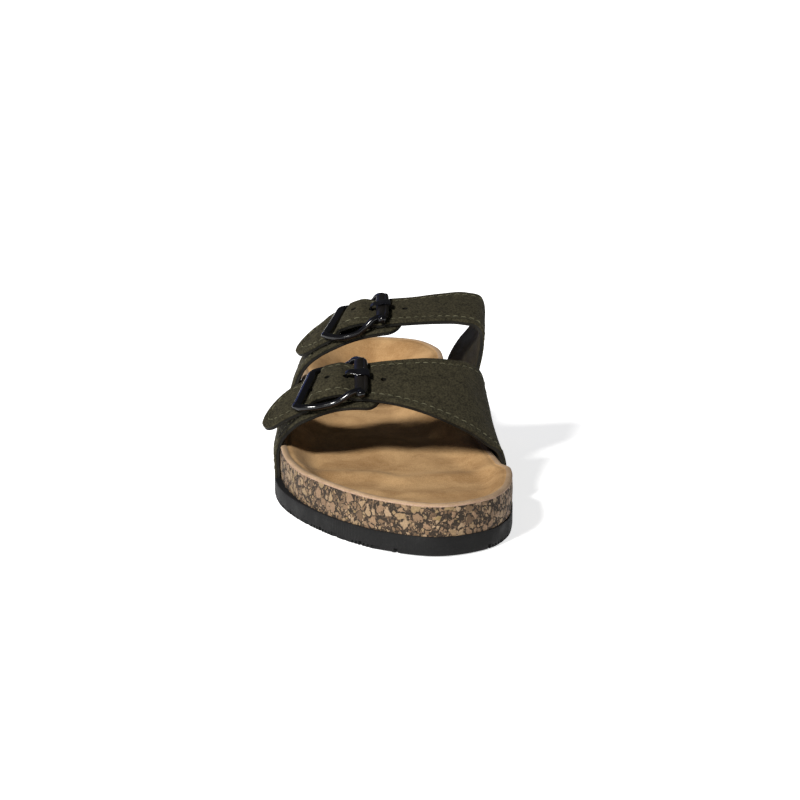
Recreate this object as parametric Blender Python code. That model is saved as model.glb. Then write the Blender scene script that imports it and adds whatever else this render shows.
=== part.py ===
"""Two-strap footbed sandal for the right foot, standing empty on its sole.

Toe towards -Y, heel towards +Y, the inner (big toe) side towards +X, +Z up, metres.
The sizes and tables below are in millimetres, and MM turns them into metres.
"""

import math
from collections import namedtuple

import bmesh
import bpy
import numpy as np
from mathutils import Matrix, Vector

MM = 0.001

# Gaps between pieces
GAP = 0.35

# Sole: driving sizes
SOLE_LENGTH = 267.0
OUTLINE_POINTS = 64
OUTSOLE_THICKNESS = 8.0
OUTSOLE_EDGE_ROUND = 1.2
TOE_SPRING = 0.6
TOE_SPRING_START = -88.0
HEEL_SPRING = 0.8
HEEL_SPRING_START = 112.0
INSOLE_THICKNESS = 1.4
INSOLE_EDGE_THICKNESS = 0.7
CORK_BULGE = 0.5
CORK_EDGE_SETBACK = 0.3
RIM_LIP = 2.0
RIM_ROUND = 0.6

# Tread: zigzag grooves across the forefoot and the heel
GROOVE_WIDTH = 2.2
GROOVE_DEPTH = 1.5
GROOVE_PITCH = 12.0
ZIGZAG_PERIOD = 15.0
ZIGZAG_SWING = 3.0
GROOVE_REACH = 66.0
CUTTER_BOTTOM = -2.0
FOREFOOT_GROOVES = (-124.0, -8.0)
HEEL_GROOVES = (46.0, 128.0)

# Straps
STRAP_THICKNESS = 2.4
STRAP_SETBACK = 0.1
STRAP_CROWN = 0.5
CROWN_START_SHARE = 0.12
CROWN_RISE_SHARE = 0.15
STRAP_ROWS = 40
STRAP_COLUMNS = 5
TURN_WEIGHT = 22.0
END_ROWS = 7
END_FULLNESS = 2.4
END_NARROWEST = 0.995
TIP_ROUND = 15.0
TAB_END_ROUND = 9.0
TAB_FRONT_OVERHANG = 0.09
TAB_PAST_ROLLER = 9.5
TAB_CLEARANCE = 0.5
TAB_SECTIONS = 6
FRONT_TAB_MEETS = 25.0
REAR_TAB_MEETS = 34.0
HOLE_RADIUS = 1.6
HOLE_STEPS = (-2, -1, 0, 1, 2)
HOLE_SIDES = 10
HOLE_PUNCH_REACH = 6.0

# Between a buckle's roller and its outer bar the strap swells up; the swell ends along the slanting bar
HUMP_EDGE_RISE = 2.6
HUMP_MIDDLE_RISE = 1.2
HUMP_START = 1.8
HUMP_CLIMB = 8.0
HUMP_END_SHARE = 0.82
HUMP_END_SLANT = 3.4
HUMP_FALL = 5.0

# Buckles
FRAME_CLEARANCE = 0.72
ARM_RADIUS = 1.6
CORNER_RADIUS = 1.85
BAR_RADIUS = 2.1
WIRE_FLATTEN = 0.7
WIRE_SIDES = 8
ROLLER_HALF_WIDTH = 3.1
ROLLER_HALF_HEIGHT = 1.5
ROLLER_HALF_LENGTH = 13.6
ROLLER_CAP = 1.4
ROLLER_CAP_START = 1.2
ROLLER_CAP_TAPER = 1.0
ROLLER_REAR_DROP = 1.6
ROLLER_SIDES = 14
POST_RADIUS = 1.1
POST_TOP = 0.3
POST_LIFT = 0.4
PRONG_THICKNESS = 0.9
PRONG_ROOT_WIDTH = 6.0
PRONG_TIP_WIDTH = 1.2

# A buckle's wire from its roller to its outer bar: share of the way, and for the front and the rear arm
# how far it lies from the strap's middle line and how far it drops there
Arm = namedtuple("Arm", "share front_out front_drop rear_out rear_drop")
ARMS = (
    Arm(0.00, 12.4, 0.45, 12.6, 0.35),
    Arm(0.14, 14.6, 0.00, 15.9, 2.00),
    Arm(0.28, 15.8, 1.75, 16.6, 4.50),
    Arm(0.43, 15.7, 2.55, 16.5, 5.55),
    Arm(0.57, 16.3, 1.95, 16.4, 5.25),
    Arm(0.72, 16.7, 1.15, 16.1, 4.45),
    Arm(0.86, 15.8, 0.45, 15.7, 2.75),
    Arm(0.97, 14.0, -0.15, 12.9, 0.75),
    Arm(1.01, 12.6, -0.40, 11.2, 0.50),
)

# Each buckle: its roller's place from above, its length, how much longer each arm is, how far the front arm
# sags, and its strap's holes
BUCKLE_FIELDS = "roller_at length front_slant rear_slant front_sag hole_from_roller hole_spacing"
Buckle = namedtuple("Buckle", BUCKLE_FIELDS)
FRONT_BUCKLE = Buckle((-11.3, -35.0), 25.0, 3.6, -3.0, 0.0, 6.4, 8.0)
REAR_BUCKLE = Buckle((2.7, 20.5), 23.3, 4.2, -2.6, 1.8, 5.0, 7.6)

# Shifts the whole shoe so that the middle of its outer box lies on the origin
BOX_SHIFT = 1.5

TOE_TIP = (12.0, -SOLE_LENGTH / 2)
HEEL_TIP = (5.0, SOLE_LENGTH / 2)

Outline = namedtuple("Outline", "along outer inner")
OUTLINE = (
    Outline(-122.0, -9.5, 34.5),
    Outline(-107.0, -22.0, 43.0),
    Outline(-88.0, -33.0, 47.8),
    Outline(-68.0, -41.5, 50.2),
    Outline(-47.0, -47.2, 49.6),
    Outline(-20.0, -49.0, 46.8),
    Outline(10.0, -45.0, 43.0),
    Outline(40.0, -39.2, 39.2),
    Outline(75.0, -33.5, 38.0),
    Outline(104.0, -28.0, 37.3),
    Outline(124.0, -17.5, 29.2),
)

# Heights above the floor: the middle of the footbed, its rim, and how far the rim's slope reaches in
Footbed = namedtuple("Footbed", "along floor outer_rim inner_rim outer_slope inner_slope")
FOOTBED = (
    Footbed(-134.0, 17.0, 22.0, 22.0, 7.5, 7.5),
    Footbed(-100.0, 16.3, 22.0, 22.0, 8.5, 9.0),
    Footbed(-60.0, 15.3, 21.5, 20.5, 11.0, 12.0),
    Footbed(-22.0, 17.2, 23.4, 21.8, 14.0, 18.0),
    Footbed(12.0, 21.3, 27.0, 29.0, 18.0, 26.0),
    Footbed(48.0, 24.0, 33.0, 36.5, 22.0, 28.0),
    Footbed(88.0, 25.0, 38.5, 41.2, 24.0, 26.0),
    Footbed(134.0, 27.0, 42.3, 42.3, 24.0, 24.0),
)

# How far the cork stands in from the outsole's edge: room for the straps along the sides
Setback = namedtuple("Setback", "along outer inner")
CORK_SETBACK = (
    Setback(-134.0, 0.3, 0.3),
    Setback(-95.0, 0.5, 0.3),
    Setback(-68.0, 1.2, 0.3),
    Setback(-58.0, 2.0, 3.1),
    Setback(-32.0, 3.1, 3.1),
    Setback(60.0, 3.1, 3.1),
    Setback(70.0, 3.1, 0.6),
    Setback(82.0, 0.6, 0.5),
    Setback(134.0, 0.4, 0.4),
)

# Soft mounds on the footbed: a ridge under the toes and a pad behind the ball
TOE_RIDGE_RISE = 1.8
TOE_RIDGE_ALONG = -62.0
TOE_RIDGE_SLANT = -0.08
TOE_RIDGE_SPREAD = 8.0
PAD_RISE = 2.2
PAD_CENTRE = (2.0, -10.0)
PAD_SPREAD = (15.0, 17.0)

# Inward distances of the footbed's edge loops, then shares of the way to its middle line
EDGE_LOOPS = (0.0, 1.0, 2.8, 5.5, 9.5, 14.0)
MIDDLE_LOOPS = (0.45, 0.9)
MIDDLE_SHRINK = 0.72

# A strap's section runs from its front edge to its rear edge. Seat rows lie against the sole's side,
# and free rows give both edges: across, along and up.
Seat = namedtuple("Seat", "front_along rear_along front_up rear_up")
Free = namedtuple("Free", "front rear")

SEAT_FOOT = OUTSOLE_THICKNESS + GAP

FRONT_STRAP = (
    Seat(-54.0, -5.5, SEAT_FOOT, SEAT_FOOT),
    Seat(-54.5, -5.5, 19.6, 24.0),
    Free((47.4, -55.2, 25.4), (46.9, -6.0, 37.0)),
    Free((42.3, -55.8, 28.9), (45.1, -9.5, 49.5)),
    Free((35.0, -56.5, 34.0), (39.2, -15.5, 56.0)),
    Free((25.0, -56.5, 39.2), (30.0, -20.5, 59.0)),
    Free((15.0, -55.0, 43.3), (19.0, -23.0, 60.4)),
    Free((4.5, -52.3, 46.2), (8.0, -24.0, 60.2)),
    Free((-4.5, -49.5, 47.5), (-2.0, -23.5, 59.4)),
    Free((-12.0, -47.3, 48.0), (-10.5, -22.3, 58.0)),
    Free((-25.0, -43.6, 46.4), (-22.3, -18.6, 55.4)),
    Free((-39.3, -40.6, 40.8), (-34.0, -16.2, 50.6)),
    Free((-46.5, -39.6, 37.0), (-41.6, -16.6, 46.6)),
    Free((-55.2, -40.0, 30.0), (-53.6, -21.5, 38.0)),
)
FRONT_TAB_SEAT = (
    Seat(-26.5, 12.0, SEAT_FOOT, SEAT_FOOT),
    Seat(-27.0, 11.5, 20.5, 26.0),
    Free((-47.6, -29.5, 25.6), (-45.0, 9.5, 33.5)),
    Free((-45.3, -33.2, 29.8), (-43.6, 4.0, 38.5)),
    Free((-41.6, -38.0, 34.4), (-39.8, -6.0, 43.6)),
)

REAR_STRAP = (
    Seat(2.5, 54.5, SEAT_FOOT, SEAT_FOOT),
    Seat(2.5, 55.0, 27.0, 34.0),
    Free((45.2, 2.5, 48.0), (39.3, 55.0, 46.0)),
    Free((46.8, 2.5, 56.5), (43.0, 50.5, 54.0)),
    Free((48.4, 2.6, 63.0), (48.0, 44.5, 62.5)),
    Free((48.0, 3.4, 67.6), (51.5, 40.5, 71.2)),
    Free((44.6, 5.0, 70.4), (50.0, 38.4, 77.2)),
    Free((37.3, 6.8, 71.6), (43.4, 36.8, 80.0)),
    Free((26.0, 7.6, 71.9), (30.6, 35.4, 79.8)),
    Free((15.0, 7.6, 71.6), (18.0, 34.4, 78.6)),
    Free((0.8, 7.6, 70.6), (3.0, 33.6, 77.4)),
    Free((-11.5, 11.4, 67.6), (-7.3, 37.4, 74.4)),
    Free((-23.5, 16.8, 61.8), (-15.7, 42.2, 69.6)),
    Free((-30.4, 18.6, 57.6), (-25.8, 42.8, 64.6)),
    Free((-38.2, 20.8, 51.2), (-37.6, 39.4, 56.8)),
)
REAR_TAB_SEAT = (
    Seat(22.5, 64.5, SEAT_FOOT, SEAT_FOOT),
    Seat(22.5, 64.0, 29.0, 35.0),
    Free((-38.9, 21.5, 40.5), (-33.8, 61.5, 43.0)),
    Free((-35.0, 20.5, 48.4), (-30.4, 52.5, 51.5)),
)

COLOURS = {
    "outsole": ((0.030, 0.031, 0.034), 0.75, 0.0),
    "cork": ((0.36, 0.23, 0.13), 0.75, 0.0),
    "insole": ((0.56, 0.36, 0.17), 0.9, 0.0),
    "strap": ((0.050, 0.047, 0.030), 0.95, 0.0),
    "buckle": ((0.010, 0.010, 0.012), 0.2, 0.0),
}


# Curves


def tangents(knots, points, steady):
    """Slopes of a smooth curve through points at the given knots; a steady one never swings past them."""
    slopes = np.empty_like(points)
    steps = np.diff(knots)
    shape = (-1,) + (1,) * (points.ndim - 1)
    chords = np.diff(points, axis=0) / steps.reshape(shape)
    before, after = steps[:-1].reshape(shape), steps[1:].reshape(shape)
    slopes[1:-1] = (chords[:-1] * after + chords[1:] * before) / (before + after)
    slopes[0], slopes[-1] = chords[0], chords[-1]
    if steady:
        product = np.clip(chords[:-1] * chords[1:], 0, None)
        total = np.where(product > 0, chords[:-1] + chords[1:], 1.0)
        slopes[1:-1] = 2 * product / total
    return slopes


def smooth(knots, points, at, steady=False):
    """The smooth curve through points, read at other knot values."""
    knots, points, at = (np.asarray(v, float) for v in (knots, points, at))
    slopes = tangents(knots, points, steady)
    piece = np.clip(np.searchsorted(knots, at, side="right") - 1, 0, len(knots) - 2)
    step = knots[piece + 1] - knots[piece]
    shape = (-1,) + (1,) * (points.ndim - 1)
    share = ((at - knots[piece]) / step).reshape(shape)
    step = step.reshape(shape)
    start, end = points[piece], points[piece + 1]
    return (
        start * (1 + 2 * share) * (1 - share) ** 2
        + slopes[piece] * step * share * (1 - share) ** 2
        + end * share**2 * (3 - 2 * share)
        - slopes[piece + 1] * step * share**2 * (1 - share)
    )


def lengths_along(points):
    steps = np.linalg.norm(np.diff(points, axis=0), axis=1)
    return np.concatenate([[0.0], np.cumsum(steps)])


def from_table(table, column, along):
    knots = [row.along for row in table]
    values = [getattr(row, column) for row in table]
    along = np.clip(along, knots[0], knots[-1])
    return smooth(knots, values, np.atleast_1d(along), steady=True)


def by_side(inner_side, table, what, along):
    """A table's inner column for points on the inner side, and its outer column for the others."""
    inner = from_table(table, "inner" + what, along)
    outer = from_table(table, "outer" + what, along)
    return np.where(inner_side, inner, outer)


# The sole's outline and heights


def outline_loop(count=OUTLINE_POINTS):
    """The sole's edge from the toe tip along the inner side to the heel and back along the outer side."""
    inner = [(row.inner, row.along) for row in OUTLINE]
    outer = [(row.outer, row.along) for row in reversed(OUTLINE)]
    ring = np.array([TOE_TIP, *inner, HEEL_TIP, *outer])
    heel = len(inner) + 1
    wrap = np.vstack([ring[-3:], ring, ring[:4]])
    knots = lengths_along(wrap)
    half = count // 2
    loops = []
    for first, last in ((3, 3 + heel), (3 + heel, 3 + len(ring))):
        fine = smooth(knots, wrap, np.linspace(knots[first], knots[last], 400))
        run = lengths_along(fine)
        even = np.linspace(0, run[-1], half + 1)[:-1]
        loops.append(np.stack([np.interp(even, run, fine[:, k]) for k in (0, 1)], axis=1))
    return np.vstack(loops)


def outward(loop):
    """Outward directions of a loop that runs anticlockwise seen from above."""
    ahead = np.roll(loop, -1, axis=0) - np.roll(loop, 1, axis=0)
    ahead /= np.linalg.norm(ahead, axis=1)[:, None]
    return np.stack([ahead[:, 1], -ahead[:, 0]], axis=1)


def side_edge(side, along):
    """How far across the sole's edge lies on one side (+1 inner, -1 outer), at points along it."""
    loop = outline_loop(400)
    half = loop[:201] if side > 0 else np.vstack([loop[200:], loop[:1]])[::-1]
    return np.interp(along, half[:, 1], half[:, 0])


def spring(along):
    toe = np.clip((TOE_SPRING_START - along) / (SOLE_LENGTH / 2 + TOE_SPRING_START), 0, None)
    heel = np.clip((along - HEEL_SPRING_START) / (SOLE_LENGTH / 2 - HEEL_SPRING_START), 0, None)
    return TOE_SPRING * toe**2 + HEEL_SPRING * heel**2


def mounds(across, along):
    ridge_at = TOE_RIDGE_ALONG + TOE_RIDGE_SLANT * across
    ridge = TOE_RIDGE_RISE * np.exp(-(((along - ridge_at) / TOE_RIDGE_SPREAD) ** 2))
    pad = ((across - PAD_CENTRE[0]) / PAD_SPREAD[0]) ** 2 + ((along - PAD_CENTRE[1]) / PAD_SPREAD[1]) ** 2
    return ridge + PAD_RISE * np.exp(-pad)


def footbed_loops():
    """Loops of points of the footbed's top, from its rim to its middle line: (loop, point, xyz)."""
    edge = outline_loop()
    away = outward(edge)
    count = len(edge)
    inner_side = np.arange(count) <= count // 2
    setback = by_side(inner_side, CORK_SETBACK, "", edge[:, 1])
    edge = edge - away * setback[:, None]
    rim = by_side(inner_side, FOOTBED, "_rim", edge[:, 1])
    slope = by_side(inner_side, FOOTBED, "_slope", edge[:, 1])
    loops = [edge - away * distance for distance in EDGE_LOOPS]
    middle_along = edge[:, 1] * MIDDLE_SHRINK
    middle_across = (side_edge(1, middle_along) + side_edge(-1, middle_along)) / 2
    middle = np.stack([middle_across, middle_along], axis=1)
    loops += [loops[len(EDGE_LOOPS) - 1] * (1 - share) + middle * share for share in MIDDLE_LOOPS]
    made = []
    for loop in loops:
        distance = np.linalg.norm(loop - edge, axis=1)
        floor = from_table(FOOTBED, "floor", loop[:, 1])
        share = np.clip((distance - RIM_LIP) / slope, 0, 1)
        fall = 1 - share * share * (3 - 2 * share)
        lip = RIM_ROUND * np.clip(1 - distance / EDGE_LOOPS[1], 0, 1)
        up = floor + (rim - floor) * fall - lip
        up += mounds(loop[:, 0], loop[:, 1]) * (1 - fall)
        made.append(np.column_stack([loop, up]))
    return np.array(made)


# Meshes


def add_object(name, points, faces, colour):
    """A named object from points in millimetres and faces, with its own material."""
    mesh = bpy.data.meshes.new(name)
    mesh.from_pydata([Vector(p) * MM for p in points], [], faces)
    shape = bmesh.new()
    shape.from_mesh(mesh)
    bmesh.ops.recalc_face_normals(shape, faces=shape.faces)
    shape.to_mesh(mesh)
    shape.free()
    obj = bpy.data.objects.new(name, mesh)
    bpy.context.scene.collection.objects.link(obj)
    mesh.shade_smooth()
    mesh.set_sharp_from_angle(angle=math.radians(40))
    if colour:
        mesh.materials.append(material_for(name, colour))
    return obj


def material_for(name, colour):
    base, roughness, metallic = COLOURS[colour]
    made = bpy.data.materials.new(name)
    made.use_nodes = True
    shader = made.node_tree.nodes["Principled BSDF"]
    shader.inputs["Base Color"].default_value = (*base, 1.0)
    shader.inputs["Roughness"].default_value = roughness
    shader.inputs["Metallic"].default_value = metallic
    return made


def helper(obj):
    """Marks an object that only cuts or joins others."""
    obj.hide_render = True
    obj.display_type = "WIRE"
    return obj


def combine(obj, other, operation):
    modifier = obj.modifiers.new(operation.lower(), "BOOLEAN")
    modifier.operation = operation
    modifier.solver = "EXACT"
    modifier.object = helper(other)


def loft_faces(loops, count, turned=0):
    """Triangles between closed loops of count points each; the first bands are split the other way."""
    faces = []
    for band, (low, high) in enumerate(zip(loops[:-1], loops[1:])):
        for i in range(count):
            j = (i + 1) % count
            if band < turned:
                faces += [(low + i, low + j, high + i), (low + j, high + j, high + i)]
            else:
                faces += [(low + i, low + j, high + j), (low + i, high + j, high + i)]
    return faces


def cap_faces(first, count):
    """Fills a shoe-shaped loop with strips between its two sides, which mirror each other in number."""
    faces = []
    for i in range(count // 2):
        a, b = i, i + 1
        c, d = (count - i - 1) % count, (count - i) % count
        for corners in ((a, b, c), (a, c, d)):
            if len(set(corners)) == 3:
                faces.append(tuple(first + k for k in corners))
    return faces


def shell_between(name, loops, colour, turned=0):
    """A closed solid from a stack of loops, capped at both ends."""
    count = len(loops[0])
    starts = [k * count for k in range(len(loops))]
    faces = loft_faces(starts, count, turned)
    faces += cap_faces(starts[0], count) + cap_faces(starts[-1], count)
    return add_object(name, np.vstack(loops), faces, colour)


# Sole pieces


def make_outsole():
    edge = outline_loop()
    inset = edge - outward(edge) * OUTSOLE_EDGE_ROUND
    low = spring(edge[:, 1])
    loops = (
        np.column_stack([inset, low]),
        np.column_stack([edge, low + OUTSOLE_EDGE_ROUND]),
        np.column_stack([edge, low + OUTSOLE_THICKNESS]),
    )
    outsole = shell_between("outsole", loops, "outsole")
    combine(outsole, make_tread_cutter(), "DIFFERENCE")
    return outsole


def make_tread_cutter():
    """Zigzag bars, one for each groove, that reach past both sides of the sole."""
    corners = int(2 * GROOVE_REACH / (ZIGZAG_PERIOD / 2)) + 1
    across = -GROOVE_REACH + np.arange(corners) * ZIGZAG_PERIOD / 2
    zigzag = np.where(np.arange(corners) % 2, ZIGZAG_SWING, -ZIGZAG_SWING)
    points, faces = [], []
    for start, end in (FOREFOOT_GROOVES, HEEL_GROOVES):
        for along in np.arange(start, end, GROOVE_PITCH):
            line = along + zigzag
            roof = spring(line) + GROOVE_DEPTH
            first = len(points)
            for shift in (-GROOVE_WIDTH / 2, GROOVE_WIDTH / 2):
                points += [(x, y + shift, CUTTER_BOTTOM) for x, y in zip(across, line)]
                points += [(x, y + shift, z) for x, y, z in zip(across, line, roof)]
            low_a, high_a, low_b, high_b = (first + k * corners for k in range(4))
            for i in range(corners - 1):
                for p, q in ((low_a, high_a), (high_a, high_b), (high_b, low_b), (low_b, low_a)):
                    faces.append((p + i, p + i + 1, q + i + 1, q + i))
            for i in (0, corners - 1):
                faces.append((low_a + i, high_a + i, high_b + i, low_b + i))
    return add_object("tread_cutter", points, faces, None)


def make_midsole(footbed):
    """The cork layer: a flat foot on the outsole, a slightly rounded side and the footbed's hollow on top."""
    top = insole_underside(footbed)
    top[:, :, 2] -= GAP
    edge = top[0][:, :2]
    away = outward(edge)
    foot = OUTSOLE_THICKNESS + GAP + spring(edge[:, 1])
    waist = (foot + top[0][:, 2]) / 2
    side = [
        np.column_stack([edge - away * CORK_EDGE_SETBACK, foot]),
        np.column_stack([edge + away * (CORK_BULGE - CORK_EDGE_SETBACK), waist]),
    ]
    return shell_between("midsole", [*side, *top], "cork")


def insole_underside(footbed):
    """The sheet's lower face; its outermost edge is pared thin."""
    under = footbed.copy()
    under[0, :, 2] -= INSOLE_EDGE_THICKNESS
    under[1:, :, 2] -= INSOLE_THICKNESS
    return under


def make_insole(footbed):
    under = insole_underside(footbed)
    return shell_between("insole", [*under[::-1], *footbed], "insole", turned=len(under) - 1)


# Straps


def section_points(row, side):
    """Points across a strap at one row, from its front edge to its rear edge."""
    share = np.linspace(0, 1, STRAP_COLUMNS)
    if isinstance(row, Seat):
        along = row.front_along + (row.rear_along - row.front_along) * share
        up = row.front_up + (row.rear_up - row.front_up) * share
        across = side_edge(side, along) - side * STRAP_SETBACK
        return np.column_stack([across, along, up + spring(along)])
    front, rear = np.array(row.front), np.array(row.rear)
    return front + (rear - front) * share[:, None]


def face_directions(grid, side):
    """Directions out of the strap's face at each grid point, away from the foot."""
    forward = np.gradient(grid, axis=0)
    sideways = np.gradient(grid, axis=1)
    normal = np.cross(forward, sideways)
    normal /= np.linalg.norm(normal, axis=2)[:, :, None]
    return -normal if side > 0 else normal


class Strap:
    """The outer face of a strap as a grid of points, row by row along it."""

    def __init__(self, sections, side, rows=3 * STRAP_ROWS):
        sections = np.array(sections)
        self.side = side
        knots = lengths_along(sections.mean(axis=1))
        self.grid = smooth(knots, sections, np.linspace(0, knots[-1], rows))
        self.knots = lengths_along(self.grid.mean(axis=1))
        self.hump_start, self.hump_end = 0.0, None

    def hump(self, run, across):
        """The swell between the buckle's roller and bar, from 0 to 1; across is -1 at the front edge."""
        if self.hump_end is None:
            return np.zeros(np.broadcast(run, across).shape)
        climb = np.clip((run - self.hump_start) / HUMP_CLIMB, 0, 1)
        fall = np.clip((self.hump_end - HUMP_END_SLANT * across - run) / HUMP_FALL, 0, 1)
        return climb**2 * (3 - 2 * climb) * fall**2 * (3 - 2 * fall)

    def at(self, run):
        """The section, and its outward direction, at a length along the strap."""
        middle = smooth(self.knots, self.grid, np.array([run - 1.0, run, run + 1.0]))
        return middle[1], face_directions(middle, self.side)[1]

    def crowned(self):
        across = np.linspace(-1, 1, self.grid.shape[1])
        arch = 1 - across**2
        share_along = self.knots / self.knots[-1]
        free = np.clip((share_along - CROWN_START_SHARE) / CROWN_RISE_SHARE, 0, 1)
        lift = STRAP_CROWN * np.outer(free, arch)
        lift += self.hump(self.knots[:, None], across) * (HUMP_EDGE_RISE + HUMP_MIDDLE_RISE * arch)
        return self.grid + face_directions(self.grid, self.side) * lift[:, :, None]

    def nearest(self, spot):
        """The length along the strap where its middle passes a place seen from above."""
        middle = self.grid.mean(axis=1)[:, :2]
        fine = np.linspace(0, self.knots[-1], 800)
        line = np.column_stack([np.interp(fine, self.knots, middle[:, k]) for k in (0, 1)])
        return fine[np.argmin(np.linalg.norm(line - np.array(spot), axis=1))]


def rounded_end(grid, reach):
    """Narrows the last rows of a strap towards its middle in a round end."""
    middle = grid.mean(axis=1, keepdims=True)
    run = lengths_along(middle[:, 0])
    share = np.clip((run - (run[-1] - reach)) / reach, 0, END_NARROWEST)
    width = np.sqrt(1 - share**END_FULLNESS)
    return middle + (grid - middle) * width[:, None, None]


def end_rows(strap, count, reach):
    """Lengths along a strap, closer together where it turns and in its round end."""
    length = strap.knots[-1]
    fine = np.linspace(0, length - reach, 300)
    line = smooth(strap.knots, strap.crowned().mean(axis=1), fine)
    ahead = np.diff(line, axis=0)
    ahead /= np.linalg.norm(ahead, axis=1)[:, None]
    turn = np.arccos(np.clip((ahead[1:] * ahead[:-1]).sum(axis=1), -1, 1))
    effort = np.concatenate([[0, 0], np.cumsum(turn)]) * TURN_WEIGHT + fine
    body = np.interp(np.linspace(0, effort[-1], count - END_ROWS), effort, fine)
    tail = length - reach + reach * np.sin(np.linspace(0, math.pi / 2, END_ROWS + 1)[1:])
    return np.concatenate([body, tail])


def make_strap_solid(name, strap, reach):
    crowned = strap.crowned()
    rows = end_rows(strap, STRAP_ROWS, reach)
    grid = smooth(strap.knots, crowned, rows)
    normal = face_directions(grid, strap.side)
    inside = grid - normal * STRAP_THICKNESS
    outside, inside = rounded_end(grid, reach), rounded_end(inside, reach)
    count, wide = outside.shape[:2]
    points = np.vstack([outside.reshape(-1, 3), inside.reshape(-1, 3)])
    back = count * wide
    faces = []
    for i in range(count - 1):
        for j in range(wide - 1):
            a = i * wide + j
            quad = (a, a + 1, a + wide + 1, a + wide)
            faces += [quad, tuple(back + k for k in reversed(quad))]
        for a in (i * wide, i * wide + wide - 1):
            faces.append((a, a + wide, back + a + wide, back + a))
    for j in range(wide - 1):
        for a in (j, (count - 1) * wide + j):
            faces.append((a, a + 1, back + a + 1, back + a))
    return add_object(name, points, faces, "strap")


def strap_from(rows, side):
    return Strap([section_points(row, side) for row in rows], side)


def tab_under(strap, seat_rows, roller_run, lowest_run):
    """The outer-side tab: its own seat rows, then sections under the strap as far as past the roller."""
    sections = [section_points(row, -1) for row in seat_rows]
    share = np.linspace(-TAB_FRONT_OVERHANG, 1, STRAP_COLUMNS)
    for run in np.linspace(lowest_run, roller_run - TAB_PAST_ROLLER, TAB_SECTIONS):
        section, normal = strap.at(run)
        straight = section[0] + (section[-1] - section[0]) * share[:, None]
        sections.append(straight - normal * (STRAP_THICKNESS + TAB_CLEARANCE))
    return Strap(sections, -1)


def make_hole_cutter(name, strap, roller_run, buckle):
    """Round punches along the middle of a strap, one at each adjustment hole."""
    points, faces = [], []
    for step in HOLE_STEPS:
        run = roller_run + buckle.hole_from_roller + step * buckle.hole_spacing
        section, normal = strap.at(run)
        middle, up = section[len(section) // 2], Vector(normal[len(normal) // 2])
        turn = up.to_track_quat("Z", "Y").to_matrix()
        first = len(points)
        for height in (-HOLE_PUNCH_REACH, HOLE_PUNCH_REACH):
            for k in range(HOLE_SIDES):
                angle = 2 * math.pi * k / HOLE_SIDES
                spoke = Vector((HOLE_RADIUS * math.cos(angle), HOLE_RADIUS * math.sin(angle), height))
                points.append(Vector(middle) + turn @ spoke)
        faces += loft_faces((first, first + HOLE_SIDES), HOLE_SIDES)
        faces += [tuple(range(first + s, first + s + HOLE_SIDES)) for s in (0, HOLE_SIDES)]
    return add_object(name, points, faces, None)


# Buckles


def buckle_place(strap, roller_run, length):
    """A frame on the strap: X from the roller to the outer bar, Y towards the toe, Z out of the strap."""
    section, normal = strap.at(roller_run)
    far_section, _ = strap.at(roller_run + length)
    middle = len(section) // 2
    near = Vector(section[middle]) + Vector(normal[middle]) * (STRAP_CROWN + ROLLER_HALF_HEIGHT + GAP)
    side = Vector(section[0] - section[-1]).normalized()
    reach = Vector(far_section[middle] - section[middle])
    reach = (reach - side * reach.dot(side)).normalized()
    turn = Matrix((reach, side, reach.cross(side))).transposed().to_4x4()
    return Matrix.Translation(near) @ turn


def tube(name, path, radii, sides, colour, flatten=1.0):
    """A round bar along a path in millimetres."""
    path = [Vector(p) for p in path]
    points = []
    for k, spot in enumerate(path):
        ahead = (path[min(k + 1, len(path) - 1)] - path[max(k - 1, 0)]).normalized()
        aside = ahead.cross(Vector((0, 0, 1)))
        aside = (aside if aside.length > 1e-6 else Vector((1, 0, 0))).normalized()
        rise = aside.cross(ahead).normalized()
        for s in range(sides):
            angle = 2 * math.pi * (s + 0.5) / sides
            points.append(
                spot + aside * radii[k] * math.cos(angle) + rise * radii[k] * flatten * math.sin(angle)
            )
    starts = [k * sides for k in range(len(path))]
    faces = loft_faces(starts, sides)
    faces += [tuple(range(s, s + sides)) for s in (starts[0], starts[-1])]
    return add_object(name, points, faces, colour)


def frame_arms(strap, roller_run, buckle, place):
    """Points of both arms of a buckle's wire beside the strap, each from the roller to the outer bar."""
    lift = STRAP_CROWN + BAR_RADIUS * WIRE_FLATTEN + FRAME_CLEARANCE
    front_stretch = 1 + buckle.front_slant / buckle.length
    rear_stretch = 1 + buckle.rear_slant / buckle.length
    front, rear = [], []
    for arm in ARMS:
        section, normal = strap.at(roller_run + buckle.length * arm.share)
        middle = len(section) // 2
        over = place.inverted() @ Vector(section[middle] + normal[middle] * lift)
        sag = buckle.front_sag * math.sin(math.pi * min(arm.share, 1.0) ** 1.5)
        front.append((over.x * front_stretch, over.y + arm.front_out, over.z - arm.front_drop - sag))
        rear.append((over.x * rear_stretch, over.y - arm.rear_out, over.z - arm.rear_drop))
    return front, rear


def make_frame_wire(name, strap, roller_run, buckle, place):
    """The buckle's open wire: one arm, the straight outer bar, which is broader, and the other arm."""
    front, rear = frame_arms(strap, roller_run, buckle, place)
    radii = [ARM_RADIUS] * (len(front) - 2) + [CORNER_RADIUS, BAR_RADIUS]
    return tube(name, front + rear[::-1], radii + radii[::-1], WIRE_SIDES, "buckle", WIRE_FLATTEN)


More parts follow.
